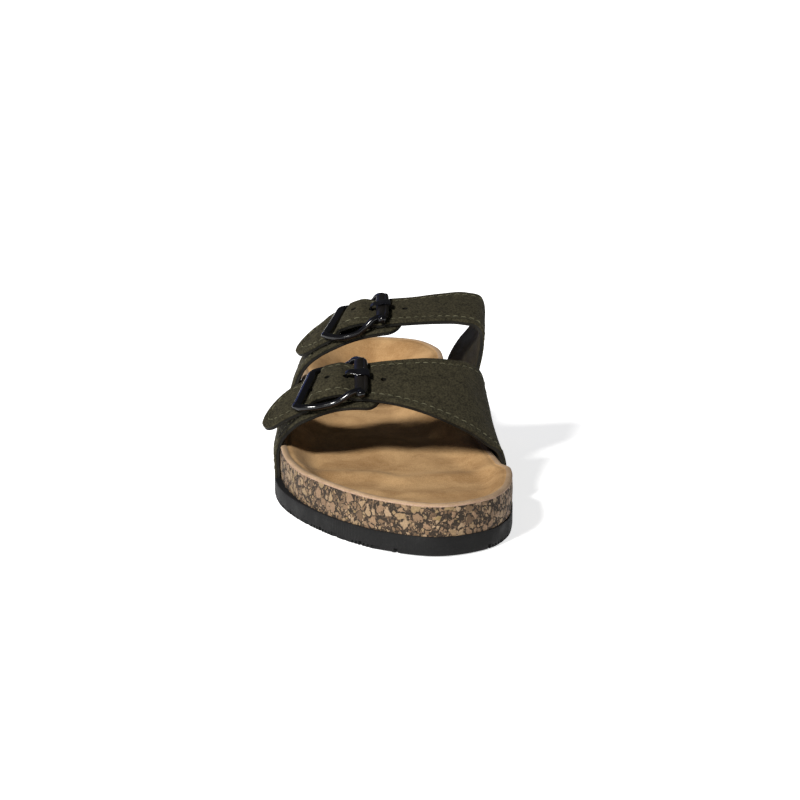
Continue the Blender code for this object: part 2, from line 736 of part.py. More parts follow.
def make_buckle(name, strap, roller_run, buckle):
    place = buckle_place(strap, roller_run, buckle.length)
    frame = make_frame_wire(name + "_frame", strap, roller_run, buckle, place)
    cap_end = ROLLER_HALF_LENGTH + ROLLER_CAP
    cap_start = ROLLER_HALF_LENGTH - ROLLER_CAP_START
    cap_radius = ROLLER_HALF_WIDTH - ROLLER_CAP_TAPER
    ends = ((-cap_end, -ROLLER_REAR_DROP), (-cap_start, 0), (cap_start, 0), (cap_end, 0))
    radii = (cap_radius, ROLLER_HALF_WIDTH, ROLLER_HALF_WIDTH, cap_radius)
    flatten = ROLLER_HALF_HEIGHT / ROLLER_HALF_WIDTH
    roller = tube(name + "_roller", [(0, y, z) for y, z in ends], radii, ROLLER_SIDES, None, flatten)
    parts = [roller]
    foot_depth = ROLLER_HALF_HEIGHT + STRAP_CROWN + STRAP_THICKNESS + GAP
    for end, aside, drop in (("front", cap_end, 0), ("rear", -cap_end, ROLLER_REAR_DROP)):
        post = [(0, aside, POST_TOP - drop), (0, aside, POST_LIFT - foot_depth)]
        parts.append(tube(f"{name}_{end}_post", post, [POST_RADIUS] * 2, WIRE_SIDES, None))
    for part in parts:
        combine(frame, part, "UNION")
    hole_run = roller_run + buckle.hole_from_roller
    section, normal = strap.at(hole_run)
    middle = len(section) // 2
    rise = STRAP_CROWN + (HUMP_EDGE_RISE + HUMP_MIDDLE_RISE) * float(strap.hump(hole_run, 0.0))
    hole = place.inverted() @ (Vector(section[middle]) + Vector(normal[middle]) * rise)
    prong = make_prong(name + "_prong", hole)
    for obj in (frame, prong, *parts):
        obj.matrix_world = Matrix.Translation(place.translation * MM) @ place.to_3x3().to_4x4()


def make_prong(name, hole):
    """A tongue curled over the roller, tapering down into the strap's hole, whose place is given."""
    wide = ROLLER_HALF_WIDTH + GAP + PRONG_THICKNESS / 2
    high = ROLLER_HALF_HEIGHT + GAP + PRONG_THICKNESS / 2
    path = []
    for degrees in (178, 155, 130, 105, 80):
        angle = math.radians(degrees)
        path.append((wide * math.cos(angle), high * math.sin(angle)))
    for behind, above in ((1.6, 2.0), (0.4, 1.4), (0.0, 0.5), (0.0, -1.4)):
        path.append((hole.x - behind, hole.z + above))
    line = np.array(path)
    run = lengths_along(line) / lengths_along(line)[-1]
    width = PRONG_ROOT_WIDTH + (PRONG_TIP_WIDTH - PRONG_ROOT_WIDTH) * np.clip((run - 0.45) / 0.45, 0, 1)
    ahead = np.gradient(line, axis=0)
    ahead /= np.linalg.norm(ahead, axis=1)[:, None]
    out = np.column_stack([-ahead[:, 1], ahead[:, 0]])
    aside = hole.y * np.clip(line[:, 0] / hole.x, 0, 1)
    points = []
    for k, (x, z) in enumerate(line):
        for wide, thick in ((-1, -1), (1, -1), (1, 1), (-1, 1)):
            shift = out[k] * thick * PRONG_THICKNESS / 2
            points.append((x + shift[0], aside[k] + wide * width[k] / 2, z + shift[1]))
    starts = [k * 4 for k in range(len(line))]
    faces = loft_faces(starts, 4) + [tuple(range(s, s + 4)) for s in (starts[0], starts[-1])]
    return add_object(name, points, faces, "buckle")


def make_strap_set(name, rows, seat_rows, buckle, tab_lowest):
    """One strap with its tab and buckle; the tab meets the strap tab_lowest past the roller."""
    strap = strap_from(rows, 1)
    roller_run = strap.nearest(buckle.roller_at)
    strap.hump_start = roller_run + HUMP_START
    strap.hump_end = roller_run + buckle.length * HUMP_END_SHARE
    solid = make_strap_solid(name + "_strap", strap, TIP_ROUND)
    combine(solid, make_hole_cutter(name + "_hole_punch", strap, roller_run, buckle), "DIFFERENCE")
    tab = tab_under(strap, seat_rows, roller_run, roller_run + tab_lowest)
    make_strap_solid(name + "_strap_tab", tab, TAB_END_ROUND)
    make_buckle(name + "_buckle", strap, roller_run, buckle)


def clear_scene():
    for obj in list(bpy.data.objects):
        bpy.data.objects.remove(obj)


def main():
    clear_scene()
    footbed = footbed_loops()
    make_outsole()
    make_midsole(footbed)
    make_insole(footbed)
    make_strap_set("front", FRONT_STRAP, FRONT_TAB_SEAT, FRONT_BUCKLE, FRONT_TAB_MEETS)
    make_strap_set("rear", REAR_STRAP, REAR_TAB_SEAT, REAR_BUCKLE, REAR_TAB_MEETS)
    pieces = list(bpy.context.scene.objects)
    root = bpy.data.objects.new("sandal", None)
    root.location = (BOX_SHIFT * MM, 0.0, 0.0)
    bpy.context.scene.collection.objects.link(root)
    for piece in pieces:
        piece.parent = root


main()
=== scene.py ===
import math

import bmesh
import bpy
import numpy as np
from mathutils import Matrix, Vector


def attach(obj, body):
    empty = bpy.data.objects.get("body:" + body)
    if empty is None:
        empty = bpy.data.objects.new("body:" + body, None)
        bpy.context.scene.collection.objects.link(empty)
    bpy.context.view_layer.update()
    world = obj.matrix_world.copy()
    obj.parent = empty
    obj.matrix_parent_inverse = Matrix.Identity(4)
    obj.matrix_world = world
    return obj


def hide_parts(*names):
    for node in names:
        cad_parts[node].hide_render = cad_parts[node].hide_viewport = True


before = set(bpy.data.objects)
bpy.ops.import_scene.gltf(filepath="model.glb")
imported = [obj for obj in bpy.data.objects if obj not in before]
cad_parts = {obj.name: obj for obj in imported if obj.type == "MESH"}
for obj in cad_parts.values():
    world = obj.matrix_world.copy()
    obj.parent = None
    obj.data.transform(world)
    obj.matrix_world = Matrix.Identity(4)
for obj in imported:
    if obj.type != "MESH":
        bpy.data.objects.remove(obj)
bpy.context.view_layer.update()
print("frame loaded with", len(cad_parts), "nodes")

# Toe towards -Y, heel towards +Y, inner side towards +X
mm = 0.001  # sizes are millimetres, turned into metres at the end
boxShift = np.array((1.5, 0.0, 0.0))  # the tables are drawn about the sole's own middle line
innerSide, outerSide = 1, -1


# Curves through a few points

def curveSlopes(knots, points, steady):
    steps = np.diff(knots)
    shape = (-1,) + (1,) * (points.ndim - 1)
    chords = np.diff(points, axis=0) / steps.reshape(shape)
    before, after = steps[:-1].reshape(shape), steps[1:].reshape(shape)
    slopes = np.empty_like(points)
    slopes[1:-1] = (chords[:-1] * after + chords[1:] * before) / (before + after)
    slopes[0], slopes[-1] = chords[0], chords[-1]
    if steady:  # never swings past its own points
        product = np.clip(chords[:-1] * chords[1:], 0, None)
        total = np.where(product > 0, chords[:-1] + chords[1:], 1.0)
        slopes[1:-1] = 2 * product / total
    return slopes


def smoothCurve(knots, points, at, steady=False):
    knots, points, at = (np.asarray(v, float) for v in (knots, points, at))
    slopes = curveSlopes(knots, points, steady)
    piece = np.clip(np.searchsorted(knots, at, side="right") - 1, 0, len(knots) - 2)
    step = knots[piece + 1] - knots[piece]
    shape = (-1,) + (1,) * (points.ndim - 1)
    share = ((at - knots[piece]) / step).reshape(shape)
    step = step.reshape(shape)
    return (
        points[piece] * (1 + 2 * share) * (1 - share) ** 2
        + slopes[piece] * step * share * (1 - share) ** 2
        + points[piece + 1] * share**2 * (3 - 2 * share)
        - slopes[piece + 1] * step * share**2 * (1 - share)
    )


def runLengths(points):
    return np.concatenate([[0.0], np.cumsum(np.linalg.norm(np.diff(points, axis=0), axis=1))])


def readRows(at, knots, rows):  # every column of the rows, at new places
    return np.column_stack([np.interp(at, knots, column) for column in rows.T])


def readTable(table, column, along):
    along = np.clip(along, table["along"][0], table["along"][-1])
    return smoothCurve(table["along"], table[column], np.atleast_1d(along), steady=True)


def readSides(onInner, table, what, along):
    inner, outer = (readTable(table, side + what, along) for side in ("inner", "outer"))
    return np.where(onInner, inner, outer)


def bump(distance, spread):
    return np.exp(-((distance / spread) ** 2))


def ease(value):  # from 0 to 1 with soft ends
    share = np.clip(value, 0, 1)
    return share**2 * (3 - 2 * share)


def roundOff(distance, reach):  # how far a round edge falls away, as a share of its reach
    curl = np.clip(1 - distance / reach, 0, 1)
    return 1 - np.sqrt(1 - curl**2)


def unit(vectors):
    return vectors / np.linalg.norm(vectors, axis=-1, keepdims=True)


# The sole's outline, seen from above

soleEdge = {
    "length": 267.0,
    "toeTip": (12.0, -133.5),
    "heelTip": (5.0, 133.5),
    "along": (-122.0, -107.0, -88.0, -68.0, -47.0, -20.0, 10.0, 40.0, 75.0, 104.0, 124.0),
    "outer": (-9.5, -22.0, -33.0, -41.5, -47.2, -49.0, -45.0, -39.2, -33.5, -28.0, -17.5),
    "inner": (34.5, 43.0, 47.8, 50.2, 49.6, 46.8, 43.0, 39.2, 38.0, 37.3, 29.2),
    "toeSpring": (-88.0, 0.6),  # where it starts, and its rise at the tip
    "heelSpring": (112.0, 0.8),
    "fineSteps": 1200, "finePoints": 800,
}


def edgeLoop(count):
    inner = list(zip(soleEdge["inner"], soleEdge["along"]))
    outer = list(zip(soleEdge["outer"], soleEdge["along"]))[::-1]
    ring = np.array([soleEdge["toeTip"], *inner, soleEdge["heelTip"], *outer])
    lead = 3  # points repeated before the toe, so that the loop closes smoothly
    heel = lead + len(inner) + 1
    wrap = np.vstack([ring[-lead:], ring, ring[:lead + 1]])
    knots = runLengths(wrap)
    halves = []
    for first, last in ((lead, heel), (heel, lead + len(ring))):
        fine = smoothCurve(knots, wrap, np.linspace(knots[first], knots[last], soleEdge["fineSteps"]))
        run = runLengths(fine)
        halves.append(readRows(np.linspace(0, run[-1], count // 2 + 1)[:-1], run, fine))
    return np.vstack(halves)


def outwardOf(loop):
    ahead = unit(np.roll(loop, -1, axis=0) - np.roll(loop, 1, axis=0))
    return np.stack([ahead[:, 1], -ahead[:, 0]], axis=1)


fineEdge = edgeLoop(soleEdge["finePoints"])


def sideEdge(side, along):
    heel = len(fineEdge) // 2
    half = fineEdge[:heel + 1] if side > 0 else np.vstack([fineEdge[heel:], fineEdge[:1]])[::-1]
    return np.interp(along, half[:, 1], half[:, 0])


def springAt(along):
    toeStart, toeRise = soleEdge["toeSpring"]
    heelStart, heelRise = soleEdge["heelSpring"]
    half = soleEdge["length"] / 2
    toe = np.clip((toeStart - along) / (half + toeStart), 0, None)
    heel = np.clip((along - heelStart) / (half - heelStart), 0, None)
    return toeRise * toe**2 + heelRise * heel**2


# Mesh helpers: a shape is a pair of points and faces

def loftQuads(rings, count):
    i, j = np.meshgrid(np.arange(rings - 1), np.arange(count), indexing="ij")
    a = i * count + j
    b = i * count + (j + 1) % count
    return np.stack([a, b, b + count, a + count], axis=-1).reshape(-1, 4).tolist()


def shoeLoft(rings):  # rings round the shoe, closed below and above by strips from side to side
    count = len(rings[0])
    faces = loftQuads(len(rings), count)
    for first in (0, (len(rings) - 1) * count):
        for i in range(count // 2):
            corners = (i, i + 1, (count - i - 1) % count, (count - i) % count)
            faces.append([first + k for k in dict.fromkeys(corners)])
    return np.vstack(rings), faces


def tube(rings):  # rings closed by one face at either end
    count = len(rings[0])
    last = (len(rings) - 1) * count
    faces = loftQuads(len(rings), count) + [list(range(count)), list(range(last, last + count))]
    return np.vstack(rings), faces


def joinShapes(shapes):
    points, faces = [], []
    for shapePoints, shapeFaces in shapes:
        first = len(points)
        points += list(shapePoints)
        faces += [[first + k for k in corners] for corners in shapeFaces]
    return points, faces


def circle(sides):
    angles = 2 * math.pi * np.arange(sides) / sides
    return np.column_stack([np.cos(angles), np.sin(angles)])


def addObject(name, data):
    thing = bpy.data.objects.new(name, data)
    bpy.context.scene.collection.objects.link(thing)
    return thing


def smoothMesh(mesh, sharpAngle):
    mesh.shade_smooth()
    mesh.set_sharp_from_angle(angle=math.radians(sharpAngle))


def makePiece(name, shape, finishes, faceSlots=None, sharpAngle=50, spot=None):
    points = np.asarray(shape[0], float)
    if spot is not None:  # a piece drawn in its own small frame
        points = points @ np.array(spot.to_3x3()).T + np.array(spot.translation)
    mesh = bpy.data.meshes.new(name)
    mesh.from_pydata(((points + boxShift) * mm).tolist(), [], shape[1])
    for finish in finishes:
        mesh.materials.append(finish)
    if faceSlots is not None:
        mesh.polygons.foreach_set("material_index", np.asarray(faceSlots, np.int32))
    work = bmesh.new()
    work.from_mesh(mesh)
    bmesh.ops.recalc_face_normals(work, faces=work.faces)
    work.to_mesh(mesh)
    work.free()
    smoothMesh(mesh, sharpAngle)
    return addObject(name, mesh)


def cutAway(piece, cutter, sharpAngle=40):
    modifier = piece.modifiers.new("cutAway", "BOOLEAN")
    modifier.operation = "DIFFERENCE"
    modifier.solver = "EXACT"
    modifier.object = cutter
    bpy.context.view_layer.update()
    graph = bpy.context.evaluated_depsgraph_get()
    made = bpy.data.meshes.new_from_object(piece.evaluated_get(graph))
    piece.modifiers.clear()
    piece.data = made
    bpy.data.objects.remove(cutter)
    smoothMesh(made, sharpAngle)


def dress(piece, slotName, *nodes):
    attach(piece, "root")
    if nodes:
        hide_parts(*nodes)
    print("made", piece.name, "with", len(piece.data.polygons), "faces")


# Shader helpers

def feed(tree, node, inputs):  # links sockets and sets plain values
    for key, value in inputs.items():
        if isinstance(value, bpy.types.NodeSocket):
            tree.links.new(value, node.inputs[key])
        else:
            node.inputs[key].default_value = value


def place(tree, kind, inputs, **settings):
    node = tree.nodes.new("ShaderNode" + kind)
    for key, value in settings.items():
        setattr(node, key, value)
    feed(tree, node, inputs)
    return node.outputs


def noise(tree, vector, scale, detail, roughness=0.5, distortion=0.0):
    return place(tree, "TexNoise", {
        "Vector": vector, "Scale": scale, "Detail": detail, "Roughness": roughness, "Distortion": distortion})


def mixColour(tree, factor, first, second, blend="MIX"):
    first, second = (v if isinstance(v, bpy.types.NodeSocket) else (*v, 1.0) for v in (first, second))
    return place(tree, "Mix", {0: factor, 6: first, 7: second}, data_type="RGBA", blend_type=blend)[2]


def mixValue(tree, factor, first, second):
    return place(tree, "Mix", {0: factor, 2: first, 3: second}, data_type="FLOAT")[0]


def maths(tree, operation, first, second=0.0, clamp=False):
    return place(tree, "Math", {0: first, 1: second}, operation=operation, use_clamp=clamp)[0]


def times(tree, first, second):
    return maths(tree, "MULTIPLY", first, second)


def between(tree, value, low, high, toLow=0.0, toHigh=1.0):
    inputs = {"Value": value, "From Min": low, "From Max": high, "To Min": toLow, "To Max": toHigh}
    return place(tree, "MapRange", inputs, interpolation_type="SMOOTHSTEP")[0]


def colourRamp(tree, factor, stops):
    node = tree.nodes.new("ShaderNodeValToRGB")
    tree.links.new(factor, node.inputs["Fac"])
    ramp = node.color_ramp
    while len(ramp.elements) < len(stops):
        ramp.elements.new(1.0)
    for element, (position, colour) in zip(ramp.elements, stops):
        element.position = position
        element.color = (*colour, 1.0)
    return node.outputs["Color"]


def newGroup(name, inputs, outputs):
    group = bpy.data.node_groups.new(name, "ShaderNodeTree")
    for direction, sockets in (("INPUT", inputs), ("OUTPUT", outputs)):
        for label, kind in sockets.items():
            group.interface.new_socket(label, in_out=direction, socket_type="NodeSocket" + kind)
    return group, group.nodes.new("NodeGroupInput").outputs, group.nodes.new("NodeGroupOutput")


def newMaterial(name, fixed):
    material = bpy.data.materials.new(name)
    material.use_nodes = True
    tree = material.node_tree
    shader = tree.nodes["Principled BSDF"]
    feed(tree, shader, fixed)
    return material, tree, shader, place(tree, "TexCoord", {})["Object"]


def finishMaterial(tree, shader, colour, roughness, height, depth, strength=1.0):
    relief = place(tree, "Bump", {"Height": height, "Distance": depth * mm, "Strength": strength})
    feed(tree, shader, {"Base Color": colour, "Roughness": roughness, "Normal": relief["Normal"]})


# Shared effects: nap of suede, fine grain, cork chips, rubbed dust

def napGroup():
    group, given, out = newGroup(
        "suedeNap",
        {"Vector": "Vector", "Nap Scale": "Float", "Patch Scale": "Float", "Patch Share": "Float",
         "Dark": "Color", "Light": "Color"},
        {"Color": "Color", "Height": "Float", "Roughness": "Float"},
    )
    vector, scale = given["Vector"], given["Nap Scale"]
    clumpSize, clumpShare = 0.3, 0.25  # larger tufts among the fine fibres
    nap = noise(group, vector, scale, detail=3.0)
    clump = noise(group, vector, times(group, scale, clumpSize), detail=2.0)
    patch = noise(group, vector, given["Patch Scale"], detail=4.0, roughness=0.62, distortion=0.4)
    napTone, clumpTone = (between(group, layer["Fac"], 0.3, 0.7) for layer in (nap, clump))
    fibre = mixValue(group, clumpShare, napTone, clumpTone)
    tone = mixValue(group, given["Patch Share"], fibre, between(group, patch["Fac"], 0.32, 0.68))
    feed(group, out, {
        "Color": mixColour(group, tone, given["Dark"], given["Light"]),
        "Height": fibre,
        "Roughness": between(group, fibre, 0.0, 1.0, 0.98, 0.82),
    })
    return group


def grainGroup():
    group, given, out = newGroup(
        "fineGrain",
        {"Vector": "Vector", "Scale": "Float", "Low": "Float", "High": "Float"},
        {"Height": "Float", "Roughness": "Float", "Tone": "Float"},
    )
    vector, scale = given["Vector"], given["Scale"]
    cloudSize = 0.08  # of the grain's scale
    cells = place(group, "TexVoronoi", {"Vector": vector, "Scale": scale})
    cloud = noise(group, vector, times(group, scale, cloudSize), detail=5.0)
    tone = between(group, cloud["Fac"], 0.3, 0.7)
    feed(group, out, {
        "Height": between(group, cells["Distance"], 0.0, 0.8),
        "Roughness": mixValue(group, tone, given["Low"], given["High"]),
        "Tone": tone,
    })
    return group


def chipGroup():
    group, given, out = newGroup(
        "corkChips",
        {"Vector": "Vector", "Scale": "Float", "Gap": "Float", "Warp": "Float", "Fray": "Float"},
        {"Pick": "Float", "Tone": "Float", "Chip": "Float", "Height": "Float"},
    )
    vector, scale, gap = given["Vector"], given["Scale"], given["Gap"]
    wobbleSize, fraySize = 1.1, 4.0  # of the chips' scale
    chipEdge, slopeEdge = 1.6, 2.2  # of the gap, where a chip's colour and its height are full
    wobble = noise(group, vector, times(group, scale, wobbleSize), detail=2.0)
    centred = place(group, "VectorMath", {0: wobble["Color"], 1: (0.5, 0.5, 0.5)}, operation="SUBTRACT")[0]
    pushed = place(group, "VectorMath", {0: centred, "Scale": given["Warp"]}, operation="SCALE")[0]
    spot = place(group, "VectorMath", {0: vector, 1: pushed}, operation="ADD")[0]
    cell = place(group, "TexVoronoi", {"Vector": spot, "Scale": scale})
    rim = place(group, "TexVoronoi", {"Vector": spot, "Scale": scale}, feature="DISTANCE_TO_EDGE")
    fray = noise(group, vector, times(group, scale, fraySize), detail=2.0)
    ragged = times(group, maths(group, "SUBTRACT", fray["Fac"], 0.5), given["Fray"])
    inside = maths(group, "ADD", rim["Distance"], ragged)
    split = place(group, "SeparateColor", {"Color": cell["Color"]})
    feed(group, out, {
        "Pick": split[0],
        "Tone": split[1],
        "Chip": between(group, inside, gap, times(group, gap, chipEdge)),
        "Height": between(group, inside, 0.0, times(group, gap, slopeEdge)),
    })
    return group


def dustGroup():
    group, given, out = newGroup(
        "rubbedDust", {"Vector": "Vector", "Scale": "Float", "Amount": "Float"}, {"Mask": "Float"})
    vector, scale = given["Vector"], given["Scale"]
    speckSize = 9.0  # of the clouds' scale
    cloud = noise(group, vector, scale, detail=6.0, roughness=0.7)
    speck = noise(group, vector, times(group, scale, speckSize), detail=2.0)
    both = times(group, between(group, cloud["Fac"], 0.45, 0.75), between(group, speck["Fac"], 0.4, 0.7))
    feed(group, out, {"Mask": maths(group, "MULTIPLY", both, given["Amount"], clamp=True)})
    return group


suedeNap, fineGrain, corkChips, rubbedDust = napGroup(), grainGroup(), chipGroup(), dustGroup()
print("shared effects built")


# Finishes

def dusty(tree, where, colour, look):
    inputs = {"Vector": where, "Scale": look["dustScale"], "Amount": look["dust"]}
    mask = place(tree, "Group", inputs, node_tree=rubbedDust)["Mask"]
    return mixColour(tree, mask, colour, look["dustColour"])


def suedeFinish(name, look):
    material, tree, shader, where = newMaterial(name, {
        "Sheen Weight": look["sheen"], "Sheen Roughness": 0.45, "Sheen Tint": (*look["sheenTint"], 1.0),
        "Specular IOR Level": 0.15})
    nap = place(tree, "Group", {
        "Vector": where, "Nap Scale": look["napScale"], "Patch Scale": look["patchScale"],
        "Patch Share": look["patchShare"], "Dark": (*look["dark"], 1.0), "Light": (*look["light"], 1.0),
    }, node_tree=suedeNap)
    colour = dusty(tree, where, nap["Color"], look)
    finishMaterial(tree, shader, colour, nap["Roughness"], nap["Height"], look["napDepth"])
    return material


def hatchLines(tree, where, pitch):  # two sets of slanting lines
    axes = place(tree, "SeparateXYZ", {"Vector": where})
    around = maths(tree, "ADD", axes["X"], axes["Y"])
    waves = []
    for operation in ("ADD", "SUBTRACT"):
        slant = maths(tree, operation, around, axes["Z"])
        waves.append(maths(tree, "SINE", times(tree, slant, 2 * math.pi / (pitch * mm))))
    return between(tree, times(tree, *waves), -1.0, 1.0)


def grainFinish(name, look):
    material, tree, shader, where = newMaterial(name, {"Specular IOR Level": look["specular"]})
    low, high = look["roughness"]
    inputs = {"Vector": where, "Scale": look["scale"], "Low": low, "High": high}
    grain = place(tree, "Group", inputs, node_tree=fineGrain)
    colour, height = mixColour(tree, grain["Tone"], look["dark"], look["light"]), grain["Height"]
    if "hatchPitch" in look:
        hatch = hatchLines(tree, where, look["hatchPitch"])
        colour = mixColour(tree, times(tree, hatch, look["hatchTone"]), colour, look["light"])
        height = mixValue(tree, look["grainShare"], hatch, height)
    colour = dusty(tree, where, colour, look)
    finishMaterial(tree, shader, colour, grain["Roughness"], height, look["depth"])
    return material


suedeLooks = {
    "strapSuede": {
        "dark": (0.0070, 0.0062, 0.0031), "light": (0.0520, 0.0452, 0.0250),
        "napScale": 1150.0, "patchScale": 55.0, "patchShare": 0.14, "napDepth": 0.25,
        "sheen": 0.05, "sheenTint": (0.55, 0.50, 0.36),
        "dust": 0.22, "dustScale": 210.0, "dustColour": (0.10, 0.090, 0.052),
    },
    "insoleSuede": {
        "dark": (0.29, 0.160, 0.064), "light": (0.55, 0.345, 0.165),
        "napScale": 1700.0, "patchScale": 48.0, "patchShare": 0.66, "napDepth": 0.10,
        "sheen": 0.05, "sheenTint": (1.0, 0.82, 0.6),
        "dust": 0.55, "dustScale": 120.0, "dustColour": (0.22, 0.118, 0.047),
    },
    "insoleRim": {
        "dark": (0.28, 0.181, 0.104), "light": (0.42, 0.297, 0.190),
        "napScale": 1700.0, "patchScale": 90.0, "patchShare": 0.5, "napDepth": 0.08,
        "sheen": 0.05, "sheenTint": (1.0, 0.85, 0.68),
        "dust": 0.4, "dustScale": 140.0, "dustColour": (0.30, 0.17, 0.08),
    },
    "insoleCutEdge": {
        "dark": (0.29, 0.183, 0.119), "light": (0.43, 0.298, 0.216),
        "napScale": 1500.0, "patchScale": 180.0, "patchShare": 0.4, "napDepth": 0.10,
        "sheen": 0.03, "sheenTint": (1.0, 0.85, 0.75),
        "dust": 0.3, "dustScale": 160.0, "dustColour": (0.28, 0.15, 0.085),
    },
}
grainLooks = {
    "strapLining": {
        "dark": (0.009, 0.0074, 0.0042), "light": (0.027, 0.0221, 0.0134), "scale": 1500.0, "depth": 0.06,
        "roughness": (0.72, 0.92), "specular": 0.15,
        "dust": 0.4, "dustScale": 180.0, "dustColour": (0.06, 0.05, 0.034),
    },
    "strapEdgePaint": {
        "dark": (0.005, 0.005, 0.004), "light": (0.013, 0.012, 0.009), "scale": 1900.0, "depth": 0.08,
        "roughness": (0.6, 0.85), "specular": 0.2,
        "dust": 0.35, "dustScale": 260.0, "dustColour": (0.04, 0.037, 0.026),
    },
    "stitchThread": {
        "dark": (0.060, 0.057, 0.034), "light": (0.150, 0.143, 0.090), "scale": 2600.0, "depth": 0.07,
        "roughness": (0.65, 0.9), "specular": 0.2,
        "dust": 0.3, "dustScale": 300.0, "dustColour": (0.05, 0.046, 0.028),
    },
    "buckleEnamel": {
        "dark": (0.003, 0.003, 0.004), "light": (0.005, 0.005, 0.007), "scale": 700.0, "depth": 0.010,
        "roughness": (0.12, 0.18), "specular": 0.45,
        "dust": 0.2, "dustScale": 240.0, "dustColour": (0.020, 0.019, 0.019),
    },
    "buckleBand": {
        "dark": (0.005, 0.0044, 0.0040), "light": (0.010, 0.0088, 0.0076), "scale": 1100.0, "depth": 0.03,
        "roughness": (0.30, 0.42), "specular": 0.2,
        "dust": 0.35, "dustScale": 260.0, "dustColour": (0.032, 0.028, 0.025),
    },
    "outsoleFoam": {
        "dark": (0.0040, 0.0040, 0.0041), "light": (0.0076, 0.0076, 0.0078), "scale": 1300.0, "depth": 0.10,
        "roughness": (0.62, 0.82), "specular": 0.2,
        "dust": 0.35, "dustScale": 90.0, "dustColour": (0.027, 0.0265, 0.026),
        "hatchPitch": 0.9, "hatchTone": 0.35, "grainShare": 0.3,
    },
}
corkLook = {
    "binder": (0.034, 0.024, 0.016),
    "layers": (  # chips in a metre, share that isn't binder, tones, gap, warp, fray, height
        (1500.0, 0.40, "crumbTones", 0.07, 0.0003, 0.25, 0.3),
        (640.0, 0.55, "chipTones", 0.10, 0.0009, 0.22, 0.65),
        (285.0, 0.66, "chipTones", 0.085, 0.0022, 0.20, 1.0),
    ),
    "chipTones": (
        (0.00, (0.103, 0.060, 0.032)),
        (0.22, (0.185, 0.115, 0.062)),
        (0.45, (0.271, 0.168, 0.098)),
        (0.66, (0.292, 0.198, 0.102)),
        (0.84, (0.353, 0.241, 0.148)),
        (1.00, (0.241, 0.162, 0.070)),
    ),
    "crumbTones": (
        (0.00, (0.055, 0.036, 0.023)),
        (0.55, (0.130, 0.082, 0.050)),
        (1.00, (0.300, 0.200, 0.120)),
    ),
    "streakScale": 1500.0, "streakTones": (0.62, 1.02),
    "roughness": (0.88, 0.64), "depth": 0.5, "strength": 0.8,
}


def corkFinish(name, look):  # crumbs and binder, then small chips, then large chips on top
    material, tree, shader, where = newMaterial(name, {"Specular IOR Level": 0.3})
    colour, height = look["binder"], 0.0
    for scale, share, tones, gap, warp, fray, level in look["layers"]:
        inputs = {"Vector": where, "Scale": scale, "Gap": gap, "Warp": warp, "Fray": fray}
        chips = place(tree, "Group", inputs, node_tree=corkChips)
        picked = maths(tree, "LESS_THAN", chips["Pick"], share)
        tone = colourRamp(tree, chips["Tone"], look[tones])
        colour = mixColour(tree, times(tree, picked, chips["Chip"]), colour, tone)
        raised = times(tree, times(tree, picked, chips["Height"]), level)
        height = maths(tree, "MAXIMUM", height, raised)
    streak = noise(tree, where, look["streakScale"], detail=4.0, roughness=0.7)
    streakTone = between(tree, streak["Fac"], 0.3, 0.7, *look["streakTones"])
    colour = mixColour(tree, 1.0, colour, streakTone, "MULTIPLY")
    roughness = between(tree, height, 0.0, 1.0, *look["roughness"])
    finishMaterial(tree, shader, colour, roughness, height, look["depth"], look["strength"])
    return material


finishes = {name: suedeFinish(name, look) for name, look in suedeLooks.items()}
finishes.update({name: grainFinish(name, look) for name, look in grainLooks.items()})
finishes["corkChipBoard"] = corkFinish("corkChipBoard", corkLook)
print("finishes built")


# Footbed: heights above the floor of its middle and rim, and how far the rim's slope reaches in

footbed = {
    "along": (-134.0, -100.0, -60.0, -22.0, 12.0, 48.0, 88.0, 134.0),
    "floor": (17.0, 16.3, 15.3, 17.2, 21.3, 24.0, 25.0, 27.0),
    "outerRim": (22.0, 22.0, 21.5, 23.4, 27.0, 33.0, 38.5, 42.3),
    "innerRim": (22.0, 22.0, 20.5, 21.8, 29.0, 36.5, 41.2, 42.3),
    "outerSlope": (7.5, 8.5, 11.0, 14.0, 18.0, 22.0, 24.0, 24.0),
    "innerSlope": (7.5, 9.0, 12.0, 18.0, 26.0, 28.0, 26.0, 24.0),
    "rimLip": 2.0, "rimRound": 0.6, "rimRoundReach": 1.0,
    "rimCrease": (3.0, 1.1, -0.45), "rimRoll": (1.5, 1.3, 0.25),  # distance from the edge, width, rise
    "toeRidge": {  # a wavy crest behind the toes
        "rise": 1.8, "spread": 8.0,
        "across": (-45.0, -27.0, -7.0, 4.0, 17.0, 36.0, 50.0),
        "crest": (-55.0, -55.0, -58.0, -67.0, -62.0, -62.0, -64.0),
    },
    "pad": {"rise": 2.2, "centre": (2.0, -10.0), "spread": (15.0, 17.0)},
    "points": 360,
    "middleShrink": 0.72,
}
corkSetback = {  # how far the cork stands in from the outsole's edge, for the straps
    "along": (-134.0, -95.0, -68.0, -58.0, -32.0, 60.0, 70.0, 82.0, 134.0),
    "outer": (0.3, 0.5, 1.2, 2.0, 2.65, 2.65, 2.65, 0.6, 0.4),
    "inner": (0.3, 0.3, 0.3, 3.1, 3.1, 3.1, 0.6, 0.5, 0.4),
}
